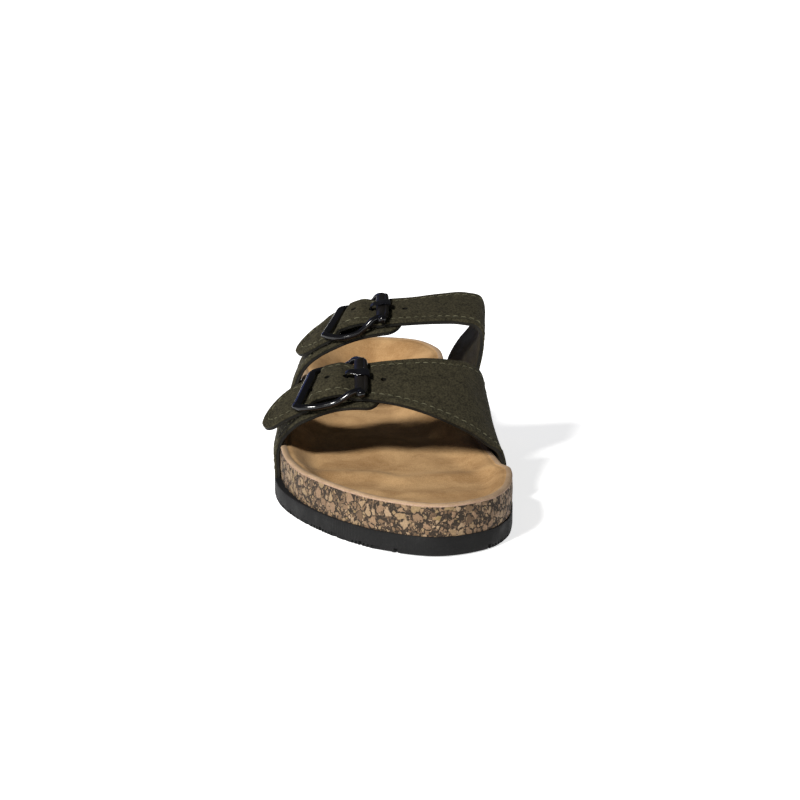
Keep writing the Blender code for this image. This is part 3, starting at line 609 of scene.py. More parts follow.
insoleSheet = {
    "thickness": 1.4, "edgeThickness": 0.7,
    "cutEdge": ((0.2, 0.06), (0.4, 0.12), (0.6, 0.06)),  # drop, out
    "edgeSteps": (
        0.0, 0.2, 0.45, 0.75, 1.1, 1.6, 2.1, 2.5, 2.8, 3.1, 3.5, 4.0, 4.7, 5.7, 7.2, 9.2, 11.6, 14.0),
    "middleSteps": (0.07, 0.15, 0.23, 0.32, 0.41, 0.50, 0.59, 0.68, 0.77, 0.86, 0.95),
    "rimRings": 7,  # rings of the rolled rim
    "folds": (  # soft wrinkles of the suede: across, along, degrees, half length, width, rise
        (24.0, -92.0, 12.0, 13.0, 3.2, 0.45),
        (2.0, -97.0, -8.0, 15.0, 4.0, -0.40),
        (34.0, -104.0, 55.0, 9.0, 2.6, 0.35),
        (-14.0, -84.0, -14.0, 12.0, 3.4, 0.40),
        (16.0, -113.0, 4.0, 16.0, 3.6, 0.30),
        (-4.0, 78.0, 18.0, 14.0, 4.0, -0.35),
        (12.0, 101.0, -12.0, 15.0, 4.5, 0.35),
    ),
}


def foldHeights(folds, across, along):
    total = np.zeros_like(across)
    for x, y, degrees, reach, width, rise in folds:
        turn = math.radians(degrees)
        lengthwise = (across - x) * math.cos(turn) + (along - y) * math.sin(turn)
        crosswise = (along - y) * math.cos(turn) - (across - x) * math.sin(turn)
        total += rise * bump(lengthwise, reach) * bump(crosswise, width)
    return total


def footbedMounds(across, along):
    ridge, pad = footbed["toeRidge"], footbed["pad"]
    inReach = np.clip(across, ridge["across"][0], ridge["across"][-1])
    ridgeAt = smoothCurve(ridge["across"], ridge["crest"], inReach, steady=True)
    (padX, padY), (spreadX, spreadY) = pad["centre"], pad["spread"]
    mound = bump(across - padX, spreadX) * bump(along - padY, spreadY)
    return ridge["rise"] * bump(along - ridgeAt, ridge["spread"]) + pad["rise"] * mound


def footbedRings(edgeSteps, middleSteps):
    edge = edgeLoop(footbed["points"])
    away = outwardOf(edge)
    onInner = np.arange(len(edge)) <= len(edge) // 2
    edge = edge - away * readSides(onInner, corkSetback, "", edge[:, 1])[:, None]
    rim = readSides(onInner, footbed, "Rim", edge[:, 1])
    slope = readSides(onInner, footbed, "Slope", edge[:, 1])
    rings = [edge - away * distance for distance in edgeSteps]
    middleAlong = edge[:, 1] * footbed["middleShrink"]
    middleAcross = (sideEdge(innerSide, middleAlong) + sideEdge(outerSide, middleAlong)) / 2
    middle = np.stack([middleAcross, middleAlong], axis=1)
    rings += [rings[len(edgeSteps) - 1] * (1 - share) + middle * share for share in middleSteps]
    made = []
    for ring in rings:
        across, along = ring.T
        distance = np.linalg.norm(ring - edge, axis=1)
        floor = readTable(footbed, "floor", along)
        fall = 1 - ease((distance - footbed["rimLip"]) / slope)
        up = floor + (rim - floor) * fall
        up -= footbed["rimRound"] * roundOff(distance, footbed["rimRoundReach"])
        relief = footbedMounds(across, along) + foldHeights(insoleSheet["folds"], across, along)
        up += relief * (1 - fall)
        for spot, width, rise in (footbed["rimCrease"], footbed["rimRoll"]):
            up += rise * bump(distance - spot, width)
        made.append(np.column_stack([ring, up]))
    return np.array(made)


def makeInsole():
    sheet = insoleSheet
    top = footbedRings(sheet["edgeSteps"], sheet["middleSteps"])
    full = np.ones(len(top))
    full[:len(sheet["edgeSteps"])] = np.clip(sheet["edgeSteps"], 0, 1)  # pared thin at the edge
    under = top.copy()
    thickness = sheet["edgeThickness"] + (sheet["thickness"] - sheet["edgeThickness"]) * full
    under[:, :, 2] -= thickness[:, None]
    side = []
    for drop, out in sheet["cutEdge"]:
        ring = top[0].copy()
        ring[:, :2] += outwardOf(ring[:, :2]) * out
        ring[:, 2] -= drop
        side.append(ring)
    shape = shoeLoft([*under[::-1], *side[::-1], *top])
    count = footbed["points"]
    slots = np.zeros(len(shape[1]), int)
    edgeFirst = (len(under) - 1) * count
    rimFirst = edgeFirst + (len(side) + 1) * count
    slots[edgeFirst:rimFirst] = 1
    slots[rimFirst:rimFirst + sheet["rimRings"] * count] = 2
    looks = [finishes[name] for name in ("insoleSuede", "insoleCutEdge", "insoleRim")]
    dress(makePiece("insoleSheet", shape, looks, slots, sharpAngle=60), "insole_suede", "insole")


corkBody = {
    "levels": 14, "topDrop": 1.42, "edgeDrop": 0.72, "footSink": 0.05,
    "edgeSteps": (0.0, 2.2, 5.3, 9.2, 14.0), "middleSteps": (0.3, 0.6, 0.9),
    "swell": (-0.3, 1.7, -1.4),  # out at the foot, then by the share of the height and by its square
    "roughness": 0.10, "waves": ((1.9, 9.0, 0.0), (0.83, -14.0, 1.3)),  # round the shoe, upwards, start
}


def makeCork():
    top = footbedRings(corkBody["edgeSteps"], corkBody["middleSteps"])
    top[0, :, 2] -= corkBody["edgeDrop"]
    top[1:, :, 2] -= corkBody["topDrop"]
    edge, rim = top[0, :, :2], top[0, :, 2]
    away = outwardOf(edge)
    foot = outsoleShape["thickness"] - corkBody["footSink"] + springAt(edge[:, 1])
    around = runLengths(np.vstack([edge, edge[:1]]))[:-1]
    atFoot, byShare, bySquare = corkBody["swell"]
    rings = []
    for share in np.linspace(0, 1, corkBody["levels"])[:-1]:
        waves = [np.sin(around * turns + climb * share + start) for turns, climb, start in corkBody["waves"]]
        out = atFoot + byShare * share + bySquare * share**2
        out = out + corkBody["roughness"] * sum(waves) * (1 - share)
        rings.append(np.column_stack([edge + away * out[:, None], foot + (rim - foot) * share]))
    shape = shoeLoft([*rings, *top])
    dress(makePiece("corkMidsole", shape, [finishes["corkChipBoard"]], sharpAngle=60), "cork", "midsole")


outsoleShape = {
    "points": 360, "thickness": 8.0, "edgeRound": 0.8, "roundRings": 6,
    "sideRings": (  # below the top, inset
        (4.8, 0.0), (2.4, 0.0), (0.35, 0.0), (0.1, 0.1), (0.0, 0.35), (0.0, 6.0),
    ),
    "grooveWidth": 2.2, "grooveDepth": 1.9, "groovePitch": 12.0,
    "sipeWidth": 1.4, "sipeDepth": 1.5, "sipeShares": (0.25, 0.5, 0.75),  # fine cuts between the grooves
    "zigzagPeriod": 15.0, "zigzagSwing": 3.0, "reach": 66.0, "cutterBottom": -2.0,
    "fields": ((-124.0, -8.0), (46.0, 128.0)),
}


def treadCutter(width, depth, shift):
    shape = outsoleShape
    corners = np.arange(int(2 * shape["reach"] / (shape["zigzagPeriod"] / 2)) + 1)
    across = -shape["reach"] + corners * shape["zigzagPeriod"] / 2
    zigzag = np.where(corners % 2, shape["zigzagSwing"], -shape["zigzagSwing"])
    bottom = np.full(len(corners), shape["cutterBottom"])
    grooves = []
    for start, end in shape["fields"]:
        for along in np.arange(start, end, shape["groovePitch"]) + shift:
            line = along + zigzag
            roof = springAt(line) + depth
            sides = ((-width / 2, bottom), (-width / 2, roof), (width / 2, roof), (width / 2, bottom))
            edges = [np.column_stack([across, line + aside, up]) for aside, up in sides]
            grooves.append(tube(np.stack(edges, axis=1)))
    return makePiece("treadCutter", joinShapes(grooves), [finishes["outsoleFoam"]])


def makeOutsole():
    shape = outsoleShape
    edge = edgeLoop(shape["points"])
    away = outwardOf(edge)
    low = springAt(edge[:, 1])
    levels = []
    for angle in np.linspace(0, math.pi / 2, shape["roundRings"]):
        up, inset = 1 - math.cos(angle), 1 - math.sin(angle)
        levels.append((shape["edgeRound"] * up, shape["edgeRound"] * inset))
    levels += [(shape["thickness"] - below, inset) for below, inset in shape["sideRings"]]
    rings = [np.column_stack([edge - away * inset, low + up]) for up, inset in levels]
    piece = makePiece("outsole_foam", shoeLoft(rings), [finishes["outsoleFoam"]])
    cutAway(piece, treadCutter(shape["grooveWidth"], shape["grooveDepth"], 0.0))
    for share in shape["sipeShares"]:
        cutAway(piece, treadCutter(shape["sipeWidth"], shape["sipeDepth"], shape["groovePitch"] * share))
    dress(piece, "outsole_rubber", "outsole")


# Straps: seat rows lie against the sole's side (front along, rear along, front up, rear up),
# and free rows give the front and the rear edge (across, along, up)

strapBuild = {
    "thickness": 2.4, "setback": 0.1, "seatGap": 0.05, "crown": 0.5, "crownStart": 0.12, "crownRise": 0.15,
    "columns": 33, "faceRows": 120, "fineSteps": 800, "rowStep": 1.0,
    "tipRound": 15.0, "tabRound": 9.0, "endFullness": 2.4, "endNarrowest": 0.995,
    "endRows": 26, "endZone": 20.0,
    "edgeSteps": (0.0, 0.12, 0.3, 0.55, 0.9, 1.4, 1.95, 2.35, 2.65, 2.9, 3.15, 3.45, 3.9, 4.8),
    "middleColumns": 22, "edgeRound": 0.7, "innerRound": 0.35,
    "edgeRings": ((0.95, 0.0), (1.2, 0.14), (1.45, 0.02), (1.8, 0.0)),  # a seam in the edge: depth, inset
    "outlineRows": (300, 60), "outlineSteps": 2400,
    "stitchInset": 3.7, "insetKept": 0.97, "grooveDepth": 0.24, "grooveWidth": 0.5,
    "rollRise": 0.10, "rollWidth": 0.8, "foldFade": 6.0,
    "ripples": ((0.07, 3.7, 5.1, 0.0), (0.06, 6.3, -2.9, 1.7)),  # rise, lengths both ways, start
    "tabFrontOverhang": 0.09, "tabPastRoller": 9.5, "tabClearance": 0.5, "tabSections": 6,
    "holeRadius": 1.3, "holeSteps": (-2, -1, 0, 1, 2), "holeSides": 24, "punch": (-5.0, 3.0),
    "dentDepth": 0.3, "dentWidth": 2.1,
    # the strap swells up to the bar, and springs up again behind it
    "humpStart": 1.8, "humpClimb": 8.0, "humpEnd": 0.90, "humpSlant": 2.2, "humpFall": 4.0,
    "humpEdgeRise": 2.6, "humpMiddleRise": 1.2,
    "tailStart": 0.8, "tailClimb": 4.5, "tailReach": 14.0, "tailFall": 8.0, "tailFrontShare": 0.3,
}
seatFoot = outsoleShape["thickness"] + strapBuild["seatGap"]

frontStrap = {
    "seats": ((-54.0, -5.5, seatFoot, seatFoot), (-54.5, -5.5, 19.6, 24.0)),
    "free": (
        ((47.4, -55.2, 25.4), (46.9, -6.0, 37.0)),
        ((42.3, -55.8, 28.9), (45.1, -9.5, 49.5)),
        ((35.0, -56.5, 34.0), (39.2, -15.5, 56.0)),
        ((25.0, -56.5, 39.2), (30.0, -20.5, 59.0)),
        ((15.0, -55.0, 43.3), (19.0, -23.0, 60.4)),
        ((4.5, -52.3, 46.2), (8.0, -24.0, 60.2)),
        ((-4.5, -49.5, 47.5), (-2.0, -23.5, 59.4)),
        ((-12.0, -47.3, 48.0), (-10.5, -22.3, 58.0)),
        ((-25.0, -43.6, 46.4), (-22.3, -18.6, 55.4)),
        ((-39.3, -40.6, 40.8), (-34.0, -16.2, 50.6)),
        ((-46.5, -39.6, 37.0), (-41.6, -16.6, 46.6)),
        ((-55.2, -40.0, 30.0), (-53.6, -21.5, 38.0)),
    ),
    "tabSeats": ((-26.5, 12.0, seatFoot, seatFoot), (-27.0, 11.5, 20.5, 26.0)),
    "tabFree": (
        ((-47.6, -29.5, 25.6), (-45.0, 9.5, 33.5)),
        ((-45.3, -33.2, 29.8), (-43.6, 4.0, 38.5)),
        ((-41.6, -38.0, 34.4), (-39.8, -6.0, 43.6)),
    ),
    "buckle": {
        "rollerAt": (-11.3, -35.0), "length": 25.0, "slants": (3.6, -3.0), "frontSag": 0.0, "tailRise": 0.0,
        "holeFrom": 6.4, "holePitch": 8.0,
    },
    "tabMeets": 25.0,  # how far past the roller the tab starts to follow the strap
    "folds": (  # soft creases: run, aside, degrees, half length, width, rise
        (34.0, -4.0, 62.0, 14.0, 3.5, -0.35),
        (46.0, 5.0, 70.0, 12.0, 4.0, 0.30),
        (62.0, -6.0, 80.0, 10.0, 4.5, -0.25),
        (79.0, 2.0, 90.0, 12.0, 3.0, -0.30),
        (20.0, 8.0, 50.0, 12.0, 4.5, 0.30),
    ),
}
rearStrap = {
    "seats": ((2.5, 54.5, seatFoot, seatFoot), (2.5, 55.0, 27.0, 34.0)),
    "free": (
        ((45.2, 2.5, 48.0), (39.3, 55.0, 46.0)),
        ((46.8, 2.5, 56.5), (43.0, 50.5, 54.0)),
        ((47.5, 2.6, 62.6), (48.4, 44.5, 62.5)),
        ((47.0, 3.4, 67.2), (52.2, 40.5, 71.2)),
        ((44.2, 5.0, 70.2), (50.7, 38.4, 77.2)),
        ((37.3, 6.8, 71.6), (43.4, 36.8, 80.0)),
        ((26.0, 7.6, 71.9), (30.6, 35.4, 79.8)),
        ((15.0, 7.6, 71.6), (18.0, 34.4, 78.6)),
        ((0.8, 7.6, 70.6), (3.0, 33.6, 77.4)),
        ((-11.5, 11.4, 67.6), (-7.3, 37.4, 74.4)),
        ((-23.5, 16.8, 61.8), (-15.7, 42.2, 69.6)),
        ((-30.4, 18.6, 57.6), (-25.8, 42.8, 64.6)),
        ((-37.2, 20.8, 51.7), (-36.6, 39.4, 57.3)),
    ),
    "tabSeats": ((22.5, 64.5, seatFoot, seatFoot), (22.5, 64.0, 29.0, 35.0)),
    "tabFree": (
        ((-38.9, 21.5, 40.5), (-33.8, 61.5, 43.0)),
        ((-35.0, 20.5, 48.4), (-30.4, 52.5, 51.5)),
    ),
    "buckle": {
        "rollerAt": (2.7, 20.5), "length": 23.3, "slants": (4.2, -2.6), "frontSag": 1.8, "tailRise": 1.7,
        "holeFrom": 5.0, "holePitch": 7.6,
    },
    "tabMeets": 34.0,
    "folds": (
        (58.0, 0.0, 88.0, 14.0, 4.0, -0.35),
        (66.0, 6.0, 76.0, 10.0, 3.5, 0.30),
        (48.0, -5.0, 80.0, 12.0, 4.5, 0.30),
        (90.0, 3.0, 95.0, 10.0, 5.0, -0.20),
        (30.0, 6.0, 60.0, 14.0, 5.0, -0.30),
    ),
}


def strapSections(seats, free, side):
    share = np.linspace(0, 1, strapBuild["columns"])
    sections = []
    for frontAlong, rearAlong, frontUp, rearUp in seats:
        along = frontAlong + (rearAlong - frontAlong) * share
        up = frontUp + (rearUp - frontUp) * share + springAt(along)
        sections.append(np.column_stack([sideEdge(side, along) - side * strapBuild["setback"], along, up]))
    for front, rear in np.array(free):
        sections.append(front + (rear - front) * share[:, None])
    return sections


def faceDirections(grid, side):
    normal = unit(np.cross(np.gradient(grid, axis=0), np.gradient(grid, axis=1)))
    return -normal if side > 0 else normal


class StrapFace:  # the outer face of a strap, as sections along its run
    def __init__(self, sections, side):
        sections = np.array(sections)
        self.side = side
        knots = runLengths(sections.mean(axis=1))
        self.grid = smoothCurve(knots, sections, np.linspace(0, knots[-1], strapBuild["faceRows"]))
        self.knots = runLengths(self.grid.mean(axis=1))
        self.length = self.knots[-1]
        self.across = np.linspace(-1, 1, self.grid.shape[1])  # from the front edge to the rear edge
        self.arch = 1 - self.across**2
        free = (self.knots / self.length - strapBuild["crownStart"]) / strapBuild["crownRise"]
        self.raiseBy(strapBuild["crown"] * np.outer(np.clip(free, 0, 1), self.arch), self.grid)

    def raiseBy(self, lift, base):
        self.crowned = base + faceDirections(self.grid, self.side) * lift[:, :, None]

    def raiseHump(self, rollerRun, buckle):
        build = strapBuild
        self.humpRange = (rollerRun + build["humpStart"], rollerRun + buckle["length"] * build["humpEnd"])
        rise = build["humpEdgeRise"] + build["humpMiddleRise"] * self.arch
        lift = self.hump(self.knots[:, None], self.across) * rise
        bar = rollerRun + buckle["length"] + np.interp(self.across, (-1, 1), buckle["slants"])
        past = self.knots[:, None] - bar - build["tailStart"]
        spring = ease(past / build["tailClimb"]) * ease((build["tailReach"] - past) / build["tailFall"])
        spring *= np.clip(self.across + build["tailFrontShare"], 0, 1)
        self.raiseBy(lift + spring * buckle["tailRise"], self.crowned)

    def hump(self, run, across):
        start, end = self.humpRange
        fall = ease((end - strapBuild["humpSlant"] * across - run) / strapBuild["humpFall"])
        return ease((run - start) / strapBuild["humpClimb"]) * fall

    def at(self, run):  # a section and its outward directions, from neighbours a millimetre away
        nearby = smoothCurve(self.knots, self.grid, np.array([run - 1.0, run, run + 1.0]))
        return nearby[1], faceDirections(nearby, self.side)[1]

    def middleAt(self, run, lift):  # a point above the middle line
        section, normal = self.at(run)
        middle = len(section) // 2
        return Vector(section[middle] + normal[middle] * lift)

    def nearest(self, spot):
        fine = np.linspace(0, self.length, strapBuild["fineSteps"])
        line = readRows(fine, self.knots, self.grid.mean(axis=1)[:, :2])
        return fine[np.argmin(np.linalg.norm(line - np.array(spot), axis=1))]

    def spots(self, runs, asides):  # points and outward directions, aside of the middle line
        nearby = np.stack([runs - 0.5, runs, runs + 0.5], axis=1).ravel()
        sections = smoothCurve(self.knots, self.crowned, nearby).reshape(len(runs), 3, -1, 3)
        points, normals = [], []
        for section, aside in zip(sections, asides):
            across = runLengths(section[1])
            where = across[-1] / 2 + aside
            points.append(readRows(where, across, section[1]))
            normals.append(readRows(where, across, faceDirections(section, self.side)[1]))
        return np.array(points), unit(np.array(normals))

    def outline(self, reach, bodyRows, endRows):  # runs and half widths, closer together round the end
        build = strapBuild
        body = np.linspace(0, self.length - reach, bodyRows)
        tail = self.length - reach + reach * np.sin(np.linspace(0, math.pi / 2, endRows)[1:])
        runs = np.concatenate([body, tail])
        sections = smoothCurve(self.knots, self.crowned, runs)
        widths = np.linalg.norm(np.diff(sections, axis=1), axis=2).sum(axis=1)
        share = np.clip((runs - (self.length - reach)) / reach, 0, build["endNarrowest"])
        return runs, widths * np.sqrt(1 - share ** build["endFullness"]) / 2


def stitchLine(face, reach):  # run and offset of a line set in from the edge, round the strap's end
    runs, half = face.outline(reach, *strapBuild["outlineRows"])
    edge = np.vstack([np.column_stack([runs, -half]), np.column_stack([runs, half])[::-1]])
    ahead = unit(np.gradient(edge, axis=0))
    inset = edge + np.column_stack([-ahead[:, 1], ahead[:, 0]]) * strapBuild["stitchInset"]
    gaps = np.hypot(*(inset[:, None, k] - edge[None, :, k] for k in (0, 1))).min(axis=1)
    kept = gaps > strapBuild["insetKept"] * strapBuild["stitchInset"]  # leaves out loops at tight corners
    return inset[kept], edge


def edgeDistance(edge, runs, asides, half):  # distance to the strap's outline, measured on its face
    distance = half[:, None] - np.abs(asides)
    fine = readRows(np.linspace(0, 1, strapBuild["outlineSteps"]), np.linspace(0, 1, len(edge)), edge)
    for i in np.nonzero(runs > runs[-1] - strapBuild["endZone"])[0]:
        gaps = np.hypot(runs[i] - fine[None, :, 0], asides[i][:, None] - fine[None, :, 1])
        distance[i] = np.minimum(distance[i], gaps.min(axis=1))
    return np.clip(distance, 0, None)


def strapColumns(half):
    steps = np.array(strapBuild["edgeSteps"])
    rows = []
    for reach in half:
        own = steps * min(1.0, reach / (steps[-1] + 1.0))
        middle = np.linspace(-reach + own[-1], reach - own[-1], strapBuild["middleColumns"] + 2)[1:-1]
        rows.append(np.concatenate([-reach + own, middle, reach - own[::-1]]))
    return np.array(rows)


def strapHeights(distance, runGrid, asides, folds, holeRuns):  # relief of the outer face
    build = strapBuild
    height = -build["edgeRound"] * roundOff(distance, build["edgeRound"])
    height -= build["grooveDepth"] * bump(distance - build["stitchInset"], build["grooveWidth"])
    height += build["rollRise"] * bump(distance - build["stitchInset"] / 2, build["rollWidth"])
    height += foldHeights(folds, runGrid, asides) * np.clip(distance / build["foldFade"], 0, 1)
    for rise, runLength, asideLength, start in build["ripples"]:
        height += rise * np.sin(runGrid / runLength + asides / asideLength + start)
    for run in holeRuns:
        height -= build["dentDepth"] * bump(np.hypot(runGrid - run, asides), build["dentWidth"])
    return height


def makeStrap(name, node, face, reach, folds=(), holeRuns=()):
    build = strapBuild
    runs, half = face.outline(reach, int((face.length - reach) / build["rowStep"]), build["endRows"])
    asides = strapColumns(half)
    points, normals = face.spots(runs, asides)
    line, edge = stitchLine(face, reach)
    distance = edgeDistance(edge, runs, asides, half)
    height = strapHeights(distance, np.broadcast_to(runs[:, None], asides.shape), asides, folds, holeRuns)
    depth = -build["thickness"] + build["innerRound"] * roundOff(distance, build["innerRound"])
    outer = points + normals * height[:, :, None]
    inner = points + normals * depth[:, :, None]

    def edgeRings(column, step):
        spot, out = points[:, column], normals[:, column]
        inward = unit(points[:, column + step] - spot)
        return [spot - out * down + inward * inset for down, inset in build["edgeRings"]]

    rear, front = edgeRings(-1, -1), edgeRings(0, 1)
    loop = np.stack([*outer.swapaxes(0, 1), *rear, *inner.swapaxes(0, 1)[::-1], *front[::-1]], axis=1)
    rows, count = loop.shape[:2]
    columns = asides.shape[1]
    innerFirst = columns + len(rear)
    faces = loftQuads(rows, count)
    bySegment = np.ones(count, int)
    bySegment[:columns - 1] = 0
    bySegment[innerFirst:innerFirst + columns - 1] = 2
    slots = list(np.tile(bySegment, rows - 1))
    for first in (0, (rows - 1) * count):
        for j in range(columns - 1):
            back = innerFirst + columns - 1 - j
            faces.append([first + k for k in (j, j + 1, back - 1, back)])
        faces.append([first + k for k in range(columns - 1, innerFirst + 1)])
        faces.append([first + k for k in (*range(innerFirst + columns - 1, count), 0)])
        slots += [1] * (columns + 1)
    looks = [finishes[look] for look in ("strapSuede", "strapEdgePaint", "strapLining")]
    piece = makePiece(name, (loop.reshape(-1, 3), faces), looks, slots, sharpAngle=55)
    if len(holeRuns):
        cutAway(piece, holePunch(face, holeRuns, looks), sharpAngle=55)
    dress(piece, "strap_suede", node)
    return line


def holePunch(face, holeRuns, looks):
    spots, outs = face.spots(holeRuns, np.zeros((len(holeRuns), 1)))
    spokes = circle(strapBuild["holeSides"]) * strapBuild["holeRadius"]
    shafts = []
    for spot, out in zip(spots[:, 0], outs[:, 0]):
        turn = np.array(Vector(out).to_track_quat("Z", "Y").to_matrix())
        rings = [np.column_stack([spokes, np.full(len(spokes), height)]) for height in strapBuild["punch"]]
        shafts.append(tube([spot + ring @ turn.T for ring in rings]))
    shape = joinShapes(shafts)
    return makePiece("holePunch", shape, looks, [1] * len(shape[1]))


stitches = {
    "length": 2.7, "pitch": 3.8, "radius": 0.20, "sides": 6, "rings": 7, "start": 3.0,
    "rise": 0.08, "bite": 0.36, "fullness": 0.35, "endThickness": 0.55,
}


def makeStitches(name, face, line):
    run = runLengths(line)
    inside = run[line[:, 0] > stitches["start"]]
    shares = np.linspace(0, 1, stitches["rings"])
    arch = np.sin(math.pi * shares) ** stitches["fullness"]
    rise = stitches["rise"] * arch - stitches["bite"] * (1 - arch)
    radius = stitches["radius"] * (stitches["endThickness"] + (1 - stitches["endThickness"]) * arch)
    threads = []
    for start in np.arange(inside[0], inside[-1] - stitches["length"], stitches["pitch"]):
        runs, asides = readRows(start + shares * stitches["length"], run, line).T
        spots, outs = (found[:, 0] for found in face.spots(runs, asides[:, None]))
        centre = spots + outs * rise[:, None]
        aside = unit(np.cross(unit(np.gradient(centre, axis=0)), outs))
        spokes = np.stack([aside, outs], axis=1) * radius[:, None, None]
        threads.append(tube(centre[:, None] + circle(stitches["sides"]) @ spokes))
    piece = makePiece(name, joinShapes(threads), [finishes["stitchThread"]], sharpAngle=80)
    dress(piece, "strap_suede")


def tabFace(face, shape, rollerRun):
    build = strapBuild
    sections = strapSections(shape["tabSeats"], shape["tabFree"], outerSide)
    share = np.linspace(-build["tabFrontOverhang"], 1, build["columns"])
    first, last = rollerRun + shape["tabMeets"], rollerRun - build["tabPastRoller"]
    for run in np.linspace(first, last, build["tabSections"]):
        section, normal = face.at(run)
        straight = section[0] + (section[-1] - section[0]) * share[:, None]
        sections.append(straight - normal * (build["thickness"] + build["tabClearance"]))
    return StrapFace(sections, outerSide)


# Buckles, each drawn in its own frame: X from the roller to the outer bar,
# Y towards the toe, Z out of the strap

buckleShape = {
    "barLift": 2.19, "barStops": (0.12, 0.35, 0.65, 0.88),
    "arms": (  # share of the way, then out and drop of the front arm, out and drop of the rear arm
        (0.00, 11.8, -0.10, 12.6, 0.35),
        (0.14, 13.5, -0.20, 15.9, 2.00),
        (0.28, 15.3, 1.00, 16.6, 4.50),
        (0.43, 16.2, 2.10, 16.5, 5.55),
        (0.57, 16.6, 2.00, 16.4, 5.25),
        (0.72, 16.7, 1.30, 16.1, 4.45),
        (0.86, 15.8, 0.45, 14.95, 3.20),
        (0.97, 14.4, -0.05, 12.3, 1.30),
        (1.01, 13.0, -0.20, 11.0, 0.80),
    ),
    "sagPower": 1.5, "pathSteps": 170, "wireSides": 28,
    "armSection": (1.45, 1.30, 2.2, 2.2),  # half width, half height, fullness below and above
    "barSection": (2.15, 1.35, 3.6, 1.35), "barBlend": 3.0,
    "rollerHalf": (3.1, 1.5), "rollerSides": 40, "rollerFullness": (2.7, 2.0), "gap": 0.3,
    "rollerEnds": (  # out, size, drop of the rear end
        (10.5, 1.0, 0.0), (12.0, 0.95, 0.05), (13.2, 0.83, 0.2), (14.1, 0.62, 0.5), (14.8, 0.3, 0.9),
    ),
    "band": (0.55, 2.5, 1.5, 1.0),  # offset, half width, half height, reach
    "edgeWire": (-2.15, 0.95, 1.10, 0.91),
    "knob": (  # up, radius; the last two are the post's
        (1.95, 0.3), (1.8, 0.95), (1.4, 1.55), (0.7, 1.98), (-0.1, 2.05), (-0.9, 1.7), (-1.5, 1.15),
        (-2.3, 0.9), (-2.6, 0.63),
    ),
    "knobs": ((14.0, 0.0), (-14.0, 1.7)),  # out, drop
}


def bucklePlace(face, rollerRun, length):
    section, _ = face.at(rollerRun)
    lift = strapBuild["crown"] + buckleShape["rollerHalf"][1] + buckleShape["gap"]
    near = face.middleAt(rollerRun, lift)
    side = Vector(section[0] - section[-1]).normalized()
    reach = face.middleAt(rollerRun + length, 0.0) - face.middleAt(rollerRun, 0.0)
    reach = (reach - side * reach.dot(side)).normalized()
    turn = Matrix((reach, side, reach.cross(side))).transposed().to_4x4()
    return Matrix.Translation(near) @ turn


# A section that goes from a diamond (fullness 1) through an ellipse (2) towards a box
def superRing(halfWide, halfHigh, fullness, topFullness, sides):
    angles = 2 * math.pi * (np.arange(sides) + 0.5) / sides
    cosine, sine = np.cos(angles), np.sin(angles)
    powers = 2 / np.where(sine > 0, topFullness, fullness)
    return np.column_stack([
        halfWide * np.sign(cosine) * np.abs(cosine) ** powers,
        halfHigh * np.sign(sine) * np.abs(sine) ** powers,
    ])


def sweep(path, sections):
    ahead = unit(np.gradient(path, axis=0))
    aside = unit(np.cross(ahead, np.array((0.0, 0.0, 1.0))))
    rise = np.cross(aside, ahead)
    return tube([path[k] + aside[k] * s[:, :1] + rise[k] * s[:, 1:] for k, s in enumerate(sections)])


def buckleWire(face, rollerRun, buckle, spot):  # arm, ridged outer bar and arm as one sweep
    shape = buckleShape
    lift = strapBuild["crown"] + shape["barLift"]
    frontReach, rearReach = (1 + slant / buckle["length"] for slant in buckle["slants"])
    front, rear = [], []
    for share, frontOut, frontDrop, rearOut, rearDrop in shape["arms"]:
        over = spot.inverted() @ face.middleAt(rollerRun + buckle["length"] * share, lift)
        sag = buckle["frontSag"] * math.sin(math.pi * min(share, 1.0) ** shape["sagPower"])
        front.append((over.x * frontReach, over.y + frontOut, over.z - frontDrop - sag))
        rear.append((over.x * rearReach, over.y - rearOut, over.z - rearDrop))
    start, end = np.array(front[-1]), np.array(rear[-1])
    bar = [start + (end - start) * share for share in shape["barStops"]]  # they keep the bar straight
    knots = np.array(front + bar + rear[::-1])
    run = runLengths(knots)
    even = np.linspace(0, run[-1], shape["pathSteps"])
    toBar = np.minimum(even - run[len(front) - 1], run[len(front) + len(bar)] - even)
    arm, bar = np.array(shape["armSection"]), np.array(shape["barSection"])
    shares = ease(toBar / shape["barBlend"] + 0.5)
    sections = [superRing(*(arm + (bar - arm) * share), shape["wireSides"]) for share in shares]
    return sweep(smoothCurve(run, knots, even), sections)


def rollerShapes():  # a broad band and a thin wire beside it, drooping at the rear end
    shape = buckleShape
    ends = shape["rollerEnds"]
    stops = [(-out, size, drop) for out, size, drop in ends[::-1]]
    stops += [(out, size, 0.0) for out, size, _ in ends]
    made = []
    for offset, wide, high, reach in (shape["band"], shape["edgeWire"]):
        line = np.array([(offset * size, out * reach, -drop) for out, size, drop in stops])
        rings = [superRing(wide * size, high * size, *shape["rollerFullness"], shape["rollerSides"])
                 for _, size, _ in stops]
        made.append(sweep(line, rings))
    return made


def knobShapes():  # the arms' ends at the roller, with short posts below
    count = buckleShape["wireSides"]
    made = []
    for out, drop in buckleShape["knobs"]:
        rings = [np.column_stack([superRing(radius, radius, 2.0, 2.0, count), np.full(count, up - drop)])
                 for up, radius in buckleShape["knob"]]
        made.append(tube([ring + np.array((0.0, out, 0.0)) for ring in rings]))
    return made


